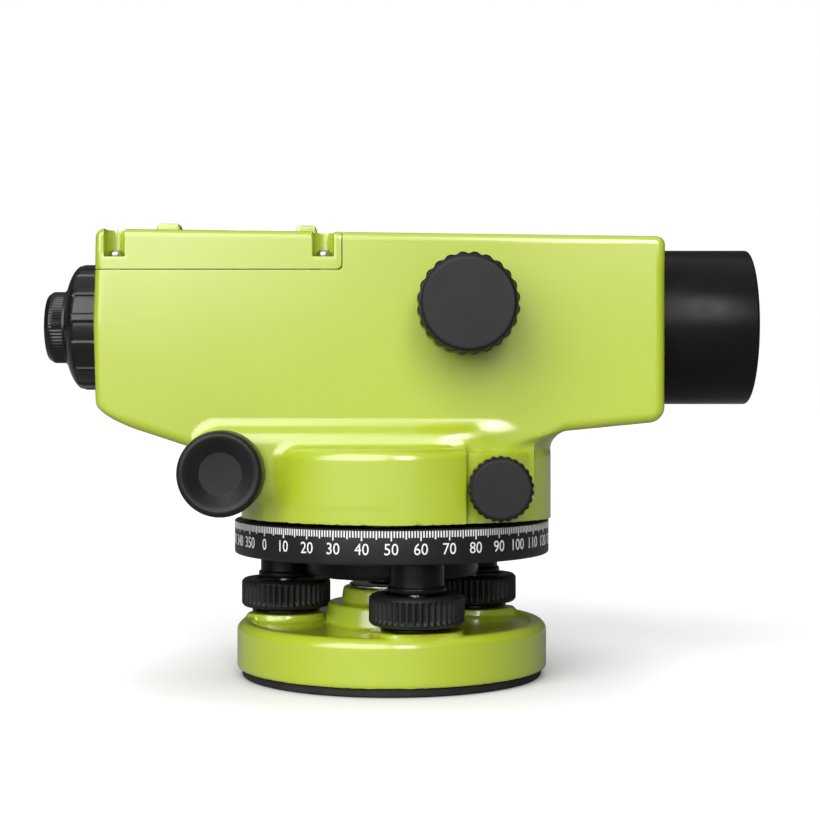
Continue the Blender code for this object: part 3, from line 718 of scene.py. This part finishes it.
def make_castings():
    cast("housing_casting", housing, "housing", 1.0, "housing_paint", "alidade")
    cast("cover_casting", top_cover, "top_cover", 0.7, "housing_paint", "alidade")
    for k, screw in enumerate(COVER_SCREWS, 1):
        head = POCKET_FLOOR_Z + GAP
        profile = [(0, 125.5), (1.4, 125.5, 0.2), (1.4, head), (2.5, head, 0.2), (2.5, head + 1.1, 0.9),
                   (1.6, head + 1.95, 0.8), (0, head + 2.0)]
        lathe(f"cover_screw_head_{k}", profile, "Z", (screw.x, screw.y, 0), LOOKS["steel"], "alidade",
              [f"cover_screw_{k}"], 48)


# ---------------------------------------------------------------- base and levelling screws

def base_plate(x, y, z):
    """The green foot: a chamfered disc with a sunk top, a stepped centre boss and three pads."""
    r = np.hypot(x, y)
    rim = round_max(r - BASE_RADIUS, ((r - BASE_RADIUS) + (z - BASE_CHAMFER_Z)) / 1.414, 0.7)
    rim = round_max(rim, z - BASE_RIM_Z, 0.6)
    sunk = round_max(r - BASE_SUNK_RADIUS, BASE_SUNK_Z - z, 0.8)
    plate = round_max(rim, -sunk, 0.8)
    step = round_max(r - 22.0 + 0.14 * (z - BASE_SUNK_Z), z - 23.6, 0.8)
    plate = round_min(plate, step, 1.0)
    plate = round_min(plate, round_max(r - 16.6 + 0.14 * (z - 24.2), z - 28.6, 0.8), 1.0)
    for foot in FEET:
        away = np.hypot(x - foot.x, y - foot.y)
        pad = round_max(round_max(away - PAD_RADIUS, r - PAD_LIMIT_RADIUS, 0.8), z - PAD_TOP_Z, 0.8)
        plate = round_min(plate, pad, 1.4)
        plate = np.maximum(plate, -np.maximum(away - BALL_RADIUS - 0.4, 12.0 - z))
    plate = np.maximum(plate, BUSH_RADIUS - r)
    return round_max(plate, 2.9 - z, 0.7)


def bush_thread(angle, radius, along):
    """A screw thread with a pitch of 2.3 mm on the inner wall."""
    return 0.25 * math.cos(2 * math.pi * along / 2.3 - angle) if radius < 7.9 else 0


def make_base():
    cast("base_casting", base_plate, "base_plate", 0.8, "housing_paint", "base")
    under = [(9, 0, 0.4), (49.3, 0, 0.6), (49.3, 2.6, 0.4), (9, 2.6, 0.4)]
    lathe("base_ring", under, "Z", (0, 0, 0), LOOKS["foot_rubber"], "base", ["base_underplate"],
          128)
    bush = [(7.4, 3.2, 0.3), (10.2, 3.2, 0.3), (10.2, 28.9), (14.0, 28.9, 0.3), (14.0, 29.8, 0.4),
            (8.2, 29.8, 0.3), (7.4, 29.0, 0.2)]
    lathe("bush_with_thread", bush, "Z", (0, 0, 0), LOOKS["steel"], "base", ["tripod_bush"], 72,
          bush_thread, 0.5)
    for k, foot in enumerate(FEET, 1):
        seat = PAD_TOP_Z + GAP
        cap = [(3.0, seat), (11.4, seat, 0.2), (11.4, seat + 1.0, 0.4), (3.4, seat + 1.1, 0.3)]
        lathe(f"seat_cap_{k}", cap, "Z", (foot.x, foot.y, 0), LOOKS["black_metal"], "base",
              [f"ball_cap_{k}"], 72)


def foot_rib(angle, radius, along):
    """Rounded ribs with narrow grooves, which run out at both edges of the knob."""
    groove = (0.5 + 0.5 * math.cos(FOOT_RIBS * angle)) ** 1.6
    fade = part_of(along - 21.9, 0.7) * part_of(29.2 - along, 0.7)
    return -0.75 * groove * fade if radius > 13.5 else 0.0


def make_foot_screws():
    for k, foot in enumerate(FEET, 1):
        at = (foot.x, foot.y, 0)
        body = f"foot_grip_{k}" if k == 1 else f"foot_screw_{k}"
        r = FOOT_KNOB_RADIUS
        knob = [(3.8, 21.6), (9.0, 21.6, 0.5), (12.4, 20.8, 0.4), (14.0, 20.8, 0.6), (r, 21.9, 0.5),
                (r, 29.2, 0.6), (14.0, 30.2, 0.8), (10.3, 30.2, 0.3), (9.8, 29.4, 0.3), (3.8, 29.4)]
        lathe(f"foot_grip_knob_{k}", knob, "Z", at, LOOKS["knob_plastic"], body, [f"foot_knob_{k}"],
              8 * FOOT_RIBS, foot_rib, 0.7)
        neck = [(3.9, 30.7), (9.2, 30.7, 0.6), (9.2, 32.4, 0.6), (8.5, 32.9, 0.3), (8.5, 36.0),
                (8.5, 44.4, 0.2), (3.9, 44.4)]
        lathe(f"neck_{k}", neck, "Z", at, LOOKS["black_metal"], "head", [f"neck_sleeve_{k}"],
              72)
        angles = np.linspace(0, 2.4, 12)
        ball = [(BALL_RADIUS * math.sin(a), BALL_Z - BALL_RADIUS * math.cos(a)) for a in angles]
        ball[0] = (0, ball[0][1])
        spindle = ball + [(2.5, 19.6), (2.5, 20.9), (3.5, 21.5, 0.3), (3.5, 45.2, 0.4), (3.0, 45.8, 0.3),
                          (0, 45.8)]
        lathe(f"foot_screw_spindle_{k}", spindle, "Z", at, LOOKS["steel"],
              f"foot_screw_{k}", [f"foot_spindle_{k}"], 48)


def levelling_head(x, y, z):
    """The black plate under the circle with its hub, drilled for the three necks and the spindle."""
    r = np.hypot(x, y)
    plate = round_max(round_max(r - HEAD_RADIUS, z - 44.4, 0.6), 40.5 - z, 0.6)
    hub = round_max(round_max(r - HUB_RADIUS, 33.0 - z, 1.0), z - 42.0, 0.1)
    head = round_min(plate, hub, 1.0)
    for foot in FEET:
        head = np.maximum(head, 8.8 - np.hypot(x - foot.x, y - foot.y))
    return np.maximum(head, -bore(x, y, 8.3, 36.0 - z))


def make_head():
    cast("head_plate", levelling_head, "levelling_head", 0.9, "black_metal", "head")


# ---------------------------------------------------------------- graduated circle

def wrapped(vertices, turn, radius):
    """A flat drawing in (across, height, depth) wrapped round the vertical axis, turned by so many
    degrees to the right of the camera's side."""
    made = []
    for across, height, depth in vertices:
        angle = math.radians(turn) + across / radius
        r = radius + depth
        made.append((r * math.sin(angle), -r * math.cos(angle), height))
    return made


def numeral_mesh(text, height, thickness):
    """A number from Blender's own font as (vertices, faces), centred and standing on zero."""
    curve = bpy.data.curves.new("numeral", "FONT")
    curve.body = text
    curve.align_x = "CENTER"
    curve.extrude = 0.5
    curve.resolution_u = 3
    writer = bpy.data.objects.new("numeral", curve)
    mesh = writer.to_mesh()
    points = np.array([tuple(v.co) for v in mesh.vertices])
    faces = [list(p.vertices) for p in mesh.polygons]
    writer.to_mesh_clear()
    bpy.data.objects.remove(writer)
    bpy.data.curves.remove(curve)
    scale = height / (points[:, 1].max() - points[:, 1].min())
    points[:, 0] = (points[:, 0] - (points[:, 0].max() + points[:, 0].min()) / 2) * scale * 0.92
    points[:, 1] = (points[:, 1] - points[:, 1].min()) * scale
    points[:, 2] *= thickness * 2
    return points, faces


def make_circle():
    outline = [(40, CIRCLE_TOP_Z, 0.3), (40, 48.3), (48, 48.3, 0.3), (48, CIRCLE_BOTTOM_Z, 0.3),
               (CIRCLE_RADIUS, CIRCLE_BOTTOM_Z, 0.7), (CIRCLE_RADIUS, CIRCLE_TOP_Z, 0.6)]
    lathe("circle_ring", outline, "Z", (0, 0, 0), LOOKS["knob_plastic"], "circle", ["horizontal_circle"],
          240)
    vertices, faces = [], []
    top = CIRCLE_TOP_Z - 0.35
    for degree in range(360):
        low = top - (3.0 if degree % 10 == 0 else 2.5 if degree % 5 == 0 else 2.0)
        half = TICK_HALF_WIDTH
        face = ((-half, low), (half, low), (half, top), (-half, top))
        tick = [(x, z, depth) for depth in (-INK, INK) for x, z in face]
        start = len(vertices)
        vertices += wrapped(tick, degree - FRONT_READING, CIRCLE_RADIUS)
        for quad in ((0, 3, 2, 1), (4, 5, 6, 7), (0, 1, 5, 4), (1, 2, 6, 5), (2, 3, 7, 6), (3, 0, 4, 7)):
            faces.append([start + k for k in quad])
    for reading in range(0, 360, 10):
        points, shape = numeral_mesh(str(reading), NUMERAL_HEIGHT, INK)
        points[:, 1] += NUMERAL_LOW_Z
        start = len(vertices)
        vertices += wrapped(points, reading - FRONT_READING, CIRCLE_RADIUS)
        faces += [[start + k for k in face] for face in shape]
    marks = place_mesh("circle_graduations", vertices, faces, MARKING, "circle", crease=20)
    face_outward(marks)
    wall_y = -CHEEK_CENTRE[1] - math.sqrt(CHEEK_RADIUS ** 2 - (INDEX_X - CHEEK_CENTRE[0]) ** 2)
    low = (INDEX_X - 0.4, wall_y - 0.25, BLOCK_BOTTOM_Z + 0.4)
    high = (INDEX_X + 0.4, wall_y + 0.6, BLOCK_BOTTOM_Z + 3.0)
    block("reading_index", low, high, 0.08, MARKING, "alidade")


# ---------------------------------------------------------------- knobs

def scallops(count, depth, start, end, rim):
    """Finger grooves round a rim, narrower than the lands between them, which run out at both ends."""
    low, high = sorted((start, end))

    def ripple(angle, radius, along):
        if radius < rim:
            return 0.0
        fade = part_of(along - low, 0.9) * part_of(high - along, 0.9)
        return -depth * (0.5 + 0.5 * math.cos(count * angle)) ** SCALLOP_POWER * fade

    return ripple


def make_focus_knob():
    face, back = node_box("focus_knob")[0].y, FOCUS_KNOB_BACK_Y
    r = node_box("focus_knob")[1].x - FOCUS.x
    profile = [(0, face), (13.6, face, 0.5), (14.5, face + 0.6, 0.5), (15.0, face + 2.0, 0.6),
               (r, face + 2.9, 0.8), (r, back - 1.2, 0.8), (14.4, back, 0.5), (9.0, back),
               (9.0, back + 0.8, 0.2), (2.7, back + 0.8), (2.7, face + 2.6), (0, face + 2.6)]
    grooves = scallops(FOCUS_SCALLOPS, 0.62, face + 0.8, back + 0.3, 14.0)
    lathe("focus_grip", profile, "Y", (FOCUS.x, 0, FOCUS.z), LOOKS["knob_plastic"], "focus_drive",
          ["focus_knob"], 10 * FOCUS_SCALLOPS, grooves, 0.8)


def make_drive_knobs():
    for name, side in (("drive_knob_near", 1), ("drive_knob_far", -1)):
        face = node_box(name)[0].y if side > 0 else node_box(name)[1].y
        back = DRIVE_KNOB_BACK_Y * side
        profile = [(0, face), (8.8, face, 0.4), (9.3, face + 0.5 * side, 0.4),
                   (10.05, face + 1.3 * side, 0.5), (10.05, back - 0.8 * side, 0.5), (9.0, back, 0.4),
                   (2.5, back), (2.5, face + 1.7 * side), (0, face + 1.7 * side)]
        grooves = scallops(DRIVE_SCALLOPS, 0.42, face + 0.3 * side, back, 9.1)
        lathe(name.replace("knob", "grip"), profile, "Y", (DRIVE.x, 0, DRIVE.z), LOOKS["knob_plastic"],
              "azimuth_drive", [name], 8 * DRIVE_SCALLOPS, grooves, 0.7)


def make_clamp_knob():
    low, high = node_box("clamp_knob")
    face, back = low.y, high.y
    profile = [(0, face + 3.2), (6.6, face + 3.2, 0.25), (6.9, face + 3.0, 0.2), (10.2, face + 0.75, 1.2),
               (11.6, face, 1.6), (12.9, face + 0.7, 1.2), (13.3, face + 2.4, 1.2), (13.3, back - 1.2, 0.8),
               (12.6, back, 0.5), (2.3, back), (2.3, face + 5.5), (0, face + 5.5)]
    lathe("clamp_grip", profile, "Y", (CLAMP.x, 0, CLAMP.z), LOOKS["knob_plastic"], "clamp",
          ["clamp_knob"], 144)


# ---------------------------------------------------------------- optics

def spanner_slot(angle, radius, along):
    """Two slots on the front edge of the retaining ring, which a spanner turns it by."""
    return 0.6 if radius < 20.8 and along > 100.5 and abs(math.sin(angle)) < 0.06 else 0


def make_objective():
    at = (0, 0, OPTICAL_Z)
    metal = LOOKS["black_metal"]
    front, seat = BARREL_FRONT_X, BODY_FRONT_X + GAP
    tube = [(21.8, 72, 0.3), (23.9, 72, 0.3), (23.9, seat), (25.3, seat, 0.4), (25.3, front, 0.8),
            (22.2, front, 0.5), (21.8, front - 1.2, 0.3), (21.8, 86.5), (19.6, 86.5), (19.6, 84.5),
            (21.8, 84.5)]
    lathe("barrel", tube, "X", at, metal, "alidade", ["objective_barrel"], 160)
    lens = [(0, 87.2), (12, 87.6), (21.4, 89.0, 0.2), (21.4, 96.0, 0.2)]
    lens += [(21.4 * math.cos(a), 96.0 + 2.9 * math.sin(a)) for a in np.linspace(0.25, math.pi / 2, 9)[:-1]]
    lens.append((0, 98.9))
    lathe("front_lens", lens, "X", at, LOOKS["glass"], "alidade", ["objective_lens"], 96)
    ring = [(20.2, 99.3, 0.1), (21.5, 99.3, 0.2), (21.5, 102.0, 0.2), (20.2, 102.0, 0.3)]
    lathe("lens_ring", ring, "X", at, metal, "alidade", ["objective_retainer"], 144,
          spanner_slot, 0.6)


def collar_flute(angle, radius, along):
    """Shallow flat-bottomed flutes between narrow lands."""
    if radius < 18.4:
        return 0.0
    phase = (COLLAR_FLUTES * (angle - 0.33) / (2 * math.pi)) % 1.0
    inside = min(phase, 1 - phase)
    cut = part_of(inside - 0.13, 0.03)
    ends = part_of(-94.4 - along, 0.3) * part_of(along + 102.2, 0.5)
    return -0.6 * cut * ends


def dioptre_rib(angle, radius, along):
    """Fine ribs round the grip of the dioptre ring."""
    ends = part_of(along + 111.0, 0.5) * part_of(-103.2 - along, 0.3)
    return -0.28 * (0.5 + 0.5 * math.cos(DIOPTRE_RIBS * angle)) * ends if radius > 11.2 else 0.0


def make_eyepiece():
    at = (0, 0, OPTICAL_Z)
    plastic, metal = LOOKS["glossy_plastic"], LOOKS["black_metal"]
    r = node_box("eyepiece_collar")[1].y
    dome = [(r * math.cos(a) * 0.98 + 0.3, -101.2 - 6.2 * math.sin(a)) for a in np.linspace(0.18, 0.92, 8)]
    seat = BODY_REAR_X - GAP
    collar = [(16.5, seat), (r, seat, 0.3), (r, -100.8, 0.5)] + dome
    collar += [(12.4, -107.4, 0.3), (12.4, -104.0), (16.5, -101.5)]
    lathe("eyepiece_ring", collar, "X", at, plastic, "alidade", ["eyepiece_collar"],
          24 * COLLAR_FLUTES, collar_flute, 0.7)
    tube = [(10.0, -100, 0.2), (12.0, -100, 0.2), (12.0, -89.0), (16.0, -89.0, 0.2), (16.0, -86.6, 0.2),
            (12.0, -86.6), (12.0, -72, 0.2), (10.0, -72, 0.2)]
    lathe("eyepiece_barrel", tube, "X", at, metal, "alidade", ["eyepiece_tube"], 72)
    r = DIOPTRE_RADIUS
    ring = [(8.0, -111.4, 0.3), (9.4, -112.9, 0.4), (10.6, -112.9, 0.9), (r, -111.2, 1.0), (r, -102.6, 0.3),
            (9.6, -102.6), (9.6, -90.5, 0.2), (8.0, -90.5, 0.2)]
    lathe("dioptre_grip", ring, "X", at, plastic, "dioptre", ["dioptre_ring"],
          6 * DIOPTRE_RIBS, dioptre_rib, 0.6)
    low, high = (-110.3, 0.01 - r, OPTICAL_Z - 0.6), (-107.0, -11.2, OPTICAL_Z + 1.5)
    block("dioptre_mark", low, high, 0.1, metal, "dioptre")
    cell = [(6.4, -109.6, 0.2), (7.7, -109.6, 0.3), (7.7, -92), (5.4, -92), (5.4, -104), (6.4, -104)]
    lathe("eye_cell", cell, "X", at, metal, "eye_carriage", ["eye_lens_cell"], 72)
    dome = [(6.1 * math.sin(a), -107.6 - 1.3 * math.cos(a)) for a in np.linspace(0.2, math.pi / 2, 7)]
    lens = [(0, -108.9)] + dome + [(6.1, -104.4, 0.2), (0, -104.4)]
    lathe("eye_glass", lens, "X", at, LOOKS["glass"], "eye_carriage", ["eye_lens"], 72)


# ---------------------------------------------------------------- circular level with its mirror

def level_bracket(x, y, z):
    """A plate on the far side with a shelf for the bubble and two lugs for the mirror."""
    plate = round_max(np.abs(x - BUBBLE.x) - 14.5, np.maximum(94.0 - z, z - 133.4), 1.5)
    plate = np.maximum(plate, np.abs(y - 34.45) - 1.15)
    shelf = round_max(np.abs(x - BUBBLE.x) - 12.0, np.maximum(y - 57.0, 34.0 - y), 4.0)
    shelf = round_max(shelf, np.abs(z - 95.3) - 1.3, 0.5)
    lug = np.abs(np.abs(x - BUBBLE.x) - 13.4) - 1.1
    lug = round_max(lug, np.maximum(np.abs(z - 130.8) - 2.6, np.abs(y - 37.0) - 3.3), 0.8)
    made = round_min(round_min(plate, shelf, 1.2), lug, 0.5)
    return np.maximum(made, -bore(y - 37.5, z - 131.0, 1.3))


def make_circular_level():
    cast("bracket", level_bracket, "level_bracket", 0.5, "housing_paint", "alidade", margin=1)
    at = (BUBBLE.x, BUBBLE.y, 0)
    cup = [(0, 96.9), (10.4, 96.9, 0.5), (10.4, 105.8, 0.9), (8.8, 105.8, 0.3), (8.8, 99.4), (0, 99.4)]
    lathe("bubble_housing", cup, "Z", at, LOOKS["black_metal"], "alidade", ["bubble_cup"],
          96)
    dome = [(8.5 * math.cos(a), 105.0 + 1.4 * math.sin(a)) for a in np.linspace(0, math.pi / 2, 9)]
    dome[-1] = (0, 106.4)
    lathe("bubble_glass", [(0, 99.7), (8.5, 99.7, 0.3)] + dome, "Z", at, LOOKS["glass"], "alidade",
          ["bubble_vial"], 96)
    fluid = [(0, 100.2), (7.9, 100.2, 0.3), (7.9, 104.6, 0.4), (0, 105.2)]
    lathe("bubble_fluid", fluid, "Z", at, FLUID, "alidade", segments=72)
    ring = [(2.9, 106.32), (3.3, 106.28), (3.3, 106.40), (2.9, 106.44)]
    lathe("bubble_circle", ring, "Z", at, LOOKS["knob_plastic"], "alidade", segments=72)


def make_mirror():
    pivot = Vector((BUBBLE.x, 37.5, 131.0))
    tilt = Matrix.Rotation(math.radians(-42), 3, "X")
    low, high = pivot + Vector((-10.0, 3.3, -1.2)), pivot + Vector((10.0, 20.3, -0.5))
    block("mirror_pane", low, high, 0.15, LOOKS["mirror"], "folding_mirror", ["mirror_glass"],
          tilt, pivot)


# ---------------------------------------------------------------- pieces kept from the CAD model

KEPT = {
    "steel": ["vertical_spindle", "drive_shaft", "clamp_screw", "clamp_collar", "focus_shaft", "pendulum",
              "suspension_flexure"],
    "brass": ["worm_wheel", "clamp_nut", "bearing_plate", "focus_cell", "focus_rack", "focus_bush",
              "reticle_mount", "compensator_frame"],
    "black_metal": ["focus_guide", "mirror_frame"],
    "glass": ["focusing_lens", "reticle", "pendulum_prism", "fixed_prism"],
}


def dress_kept_nodes():
    for slot, names in KEPT.items():
        for name in names:
            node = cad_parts[name]
            node.data.materials.clear()
            node.data.materials.append(LOOKS[slot])
            edge = node.modifiers.new("soft_edges", "BEVEL")
            edge.width = 0.15 * MM
            edge.segments = 2
            edge.limit_method = "ANGLE"
            edge.angle_limit = math.radians(40)


# ---------------------------------------------------------------- floor, light and camera

def make_floor():
    """A table that the camera sees white, glowing a little, with a painted contact shadow that darkens
    its colour and glow close to the object, while the object itself is lit by a grey one."""
    bpy.ops.mesh.primitive_plane_add(size=12.0, location=(0, 0, -0.0001))
    floor = bpy.context.object
    floor.name = "floor"
    look = Look("studio_floor")
    path = look.tree.nodes.new("ShaderNodeLightPath")
    # Painted contact shadow: ambient occlusion darkens the floor's white and glow close to the object
    painted_contact_shadow = look.tree.nodes.new("ShaderNodeAmbientOcclusion")
    painted_contact_shadow.inputs["Distance"].default_value = FLOOR_SHADE_M
    product = look.tree.nodes.new("ShaderNodeMath")
    product.operation = "MULTIPLY"
    look.link(path.outputs["Is Camera Ray"], product.inputs[0])
    look.link(painted_contact_shadow.outputs["AO"], product.inputs[1])
    seen = product.outputs["Value"]
    look.colour(look.ramp(seen, (0.0, (FLOOR_BOUNCE,) * 3), (1.0, (FLOOR_WHITE,) * 3)))
    look.link(look.range(seen, 0.0, FLOOR_GLOW, 0.0, 1.0), look.shader.inputs["Emission Strength"])
    look.set(Specular_IOR_Level=0.1, Emission_Color=(1.0, 1.0, 0.995, 1.0))
    look.roughness(look.range(look.noise(40.0, 2.0), 0.55, 0.65))
    floor.data.materials.append(look.material)


class Sky:
    """A world of nodes worked out from the direction looked in."""

    def __init__(self):
        self.world = bpy.data.worlds.new("studio")
        self.world.use_nodes = True
        self.tree = self.world.node_tree
        self.shade = self.tree.nodes["Background"]
        direction = self.tree.nodes.new("ShaderNodeTexCoord").outputs["Generated"]
        split = self.tree.nodes.new("ShaderNodeSeparateXYZ")
        self.tree.links.new(direction, split.inputs["Vector"])
        self.x, self.y, self.z = split.outputs

    def math(self, operation, *values):
        node = self.tree.nodes.new("ShaderNodeMath")
        node.operation = operation
        for value, target in zip(values, node.inputs):
            if isinstance(value, (int, float)):
                target.default_value = value
            else:
                self.tree.links.new(value, target)
        return node.outputs["Value"]

    def band(self, angle, edges):
        """1 between the inner two of four angles in degrees, 0 beyond the outer two."""
        rise = self.smooth(angle, edges[0], edges[1])
        fall = self.smooth(angle, edges[3], edges[2])
        return self.math("MULTIPLY", rise, fall)

    def smooth(self, angle, start, end):
        node = self.tree.nodes.new("ShaderNodeMapRange")
        node.interpolation_type = "SMOOTHSTEP"
        node.inputs["From Min"].default_value = math.radians(start)
        node.inputs["From Max"].default_value = math.radians(end)
        self.tree.links.new(angle, node.inputs["Value"])
        return node.outputs["Result"]


def make_world():
    """A dim room with a pale ceiling, a large softbox at the front left and a bright strip by the
    camera. The camera itself sees plain white."""
    sky = Sky()
    elevation = sky.math("ARCSINE", sky.z)
    azimuth = sky.math("ARCTAN2", sky.x, sky.math("MULTIPLY", sky.y, -1.0))
    box = sky.math("MULTIPLY", sky.band(azimuth, SOFTBOX_AZIMUTH), sky.band(elevation, SOFTBOX_ELEVATION))
    strip = sky.math("MULTIPLY", sky.band(azimuth, STRIP_AZIMUTH), sky.band(elevation, STRIP_ELEVATION))
    ceiling = sky.band(elevation, CEILING_ELEVATION)
    room = sky.math("ADD", sky.math("MULTIPLY", ceiling, CEILING), AMBIENT)
    lamps = sky.math("ADD", sky.math("MULTIPLY", box, SOFTBOX), sky.math("MULTIPLY", strip, STRIP))
    light = sky.math("ADD", room, lamps)
    sky.tree.links.new(light, sky.shade.inputs["Strength"])
    sky.shade.inputs["Color"].default_value = (1.0, 1.0, 1.0, 1.0)
    seen = sky.tree.nodes.new("ShaderNodeBackground")
    seen.inputs["Color"].default_value = (1.0, 1.0, 1.0, 1.0)
    mix = sky.tree.nodes.new("ShaderNodeMixShader")
    path = sky.tree.nodes.new("ShaderNodeLightPath")
    sky.tree.links.new(path.outputs["Is Camera Ray"], mix.inputs["Fac"])
    sky.tree.links.new(sky.shade.outputs["Background"], mix.inputs[1])
    sky.tree.links.new(seen.outputs["Background"], mix.inputs[2])
    sky.tree.links.new(mix.outputs["Shader"], sky.tree.nodes["World Output"].inputs["Surface"])
    bpy.context.scene.world = sky.world


def make_camera():
    data = bpy.data.cameras.new("camera")
    data.lens = FOCAL_LENGTH_MM
    data.sensor_width = SENSOR_MM
    camera = bpy.data.objects.new("camera", data)
    camera.location = AXIS + Vector((CAMERA_RIGHT_MM, -CAMERA_BACK_MM, CAMERA_HEIGHT_MM)) * MM
    camera.rotation_euler = (math.radians(90 - CAMERA_DIP_DEG), 0, 0)
    bpy.context.scene.collection.objects.link(camera)
    bpy.context.scene.camera = camera
    bpy.context.scene.view_settings.view_transform = "Standard"


make_camera()
make_world()
make_floor()
make_castings()
make_base()
make_foot_screws()
make_head()
make_circle()
make_focus_knob()
make_drive_knobs()
make_clamp_knob()
make_objective()
make_eyepiece()
make_circular_level()
make_mirror()
dress_kept_nodes()
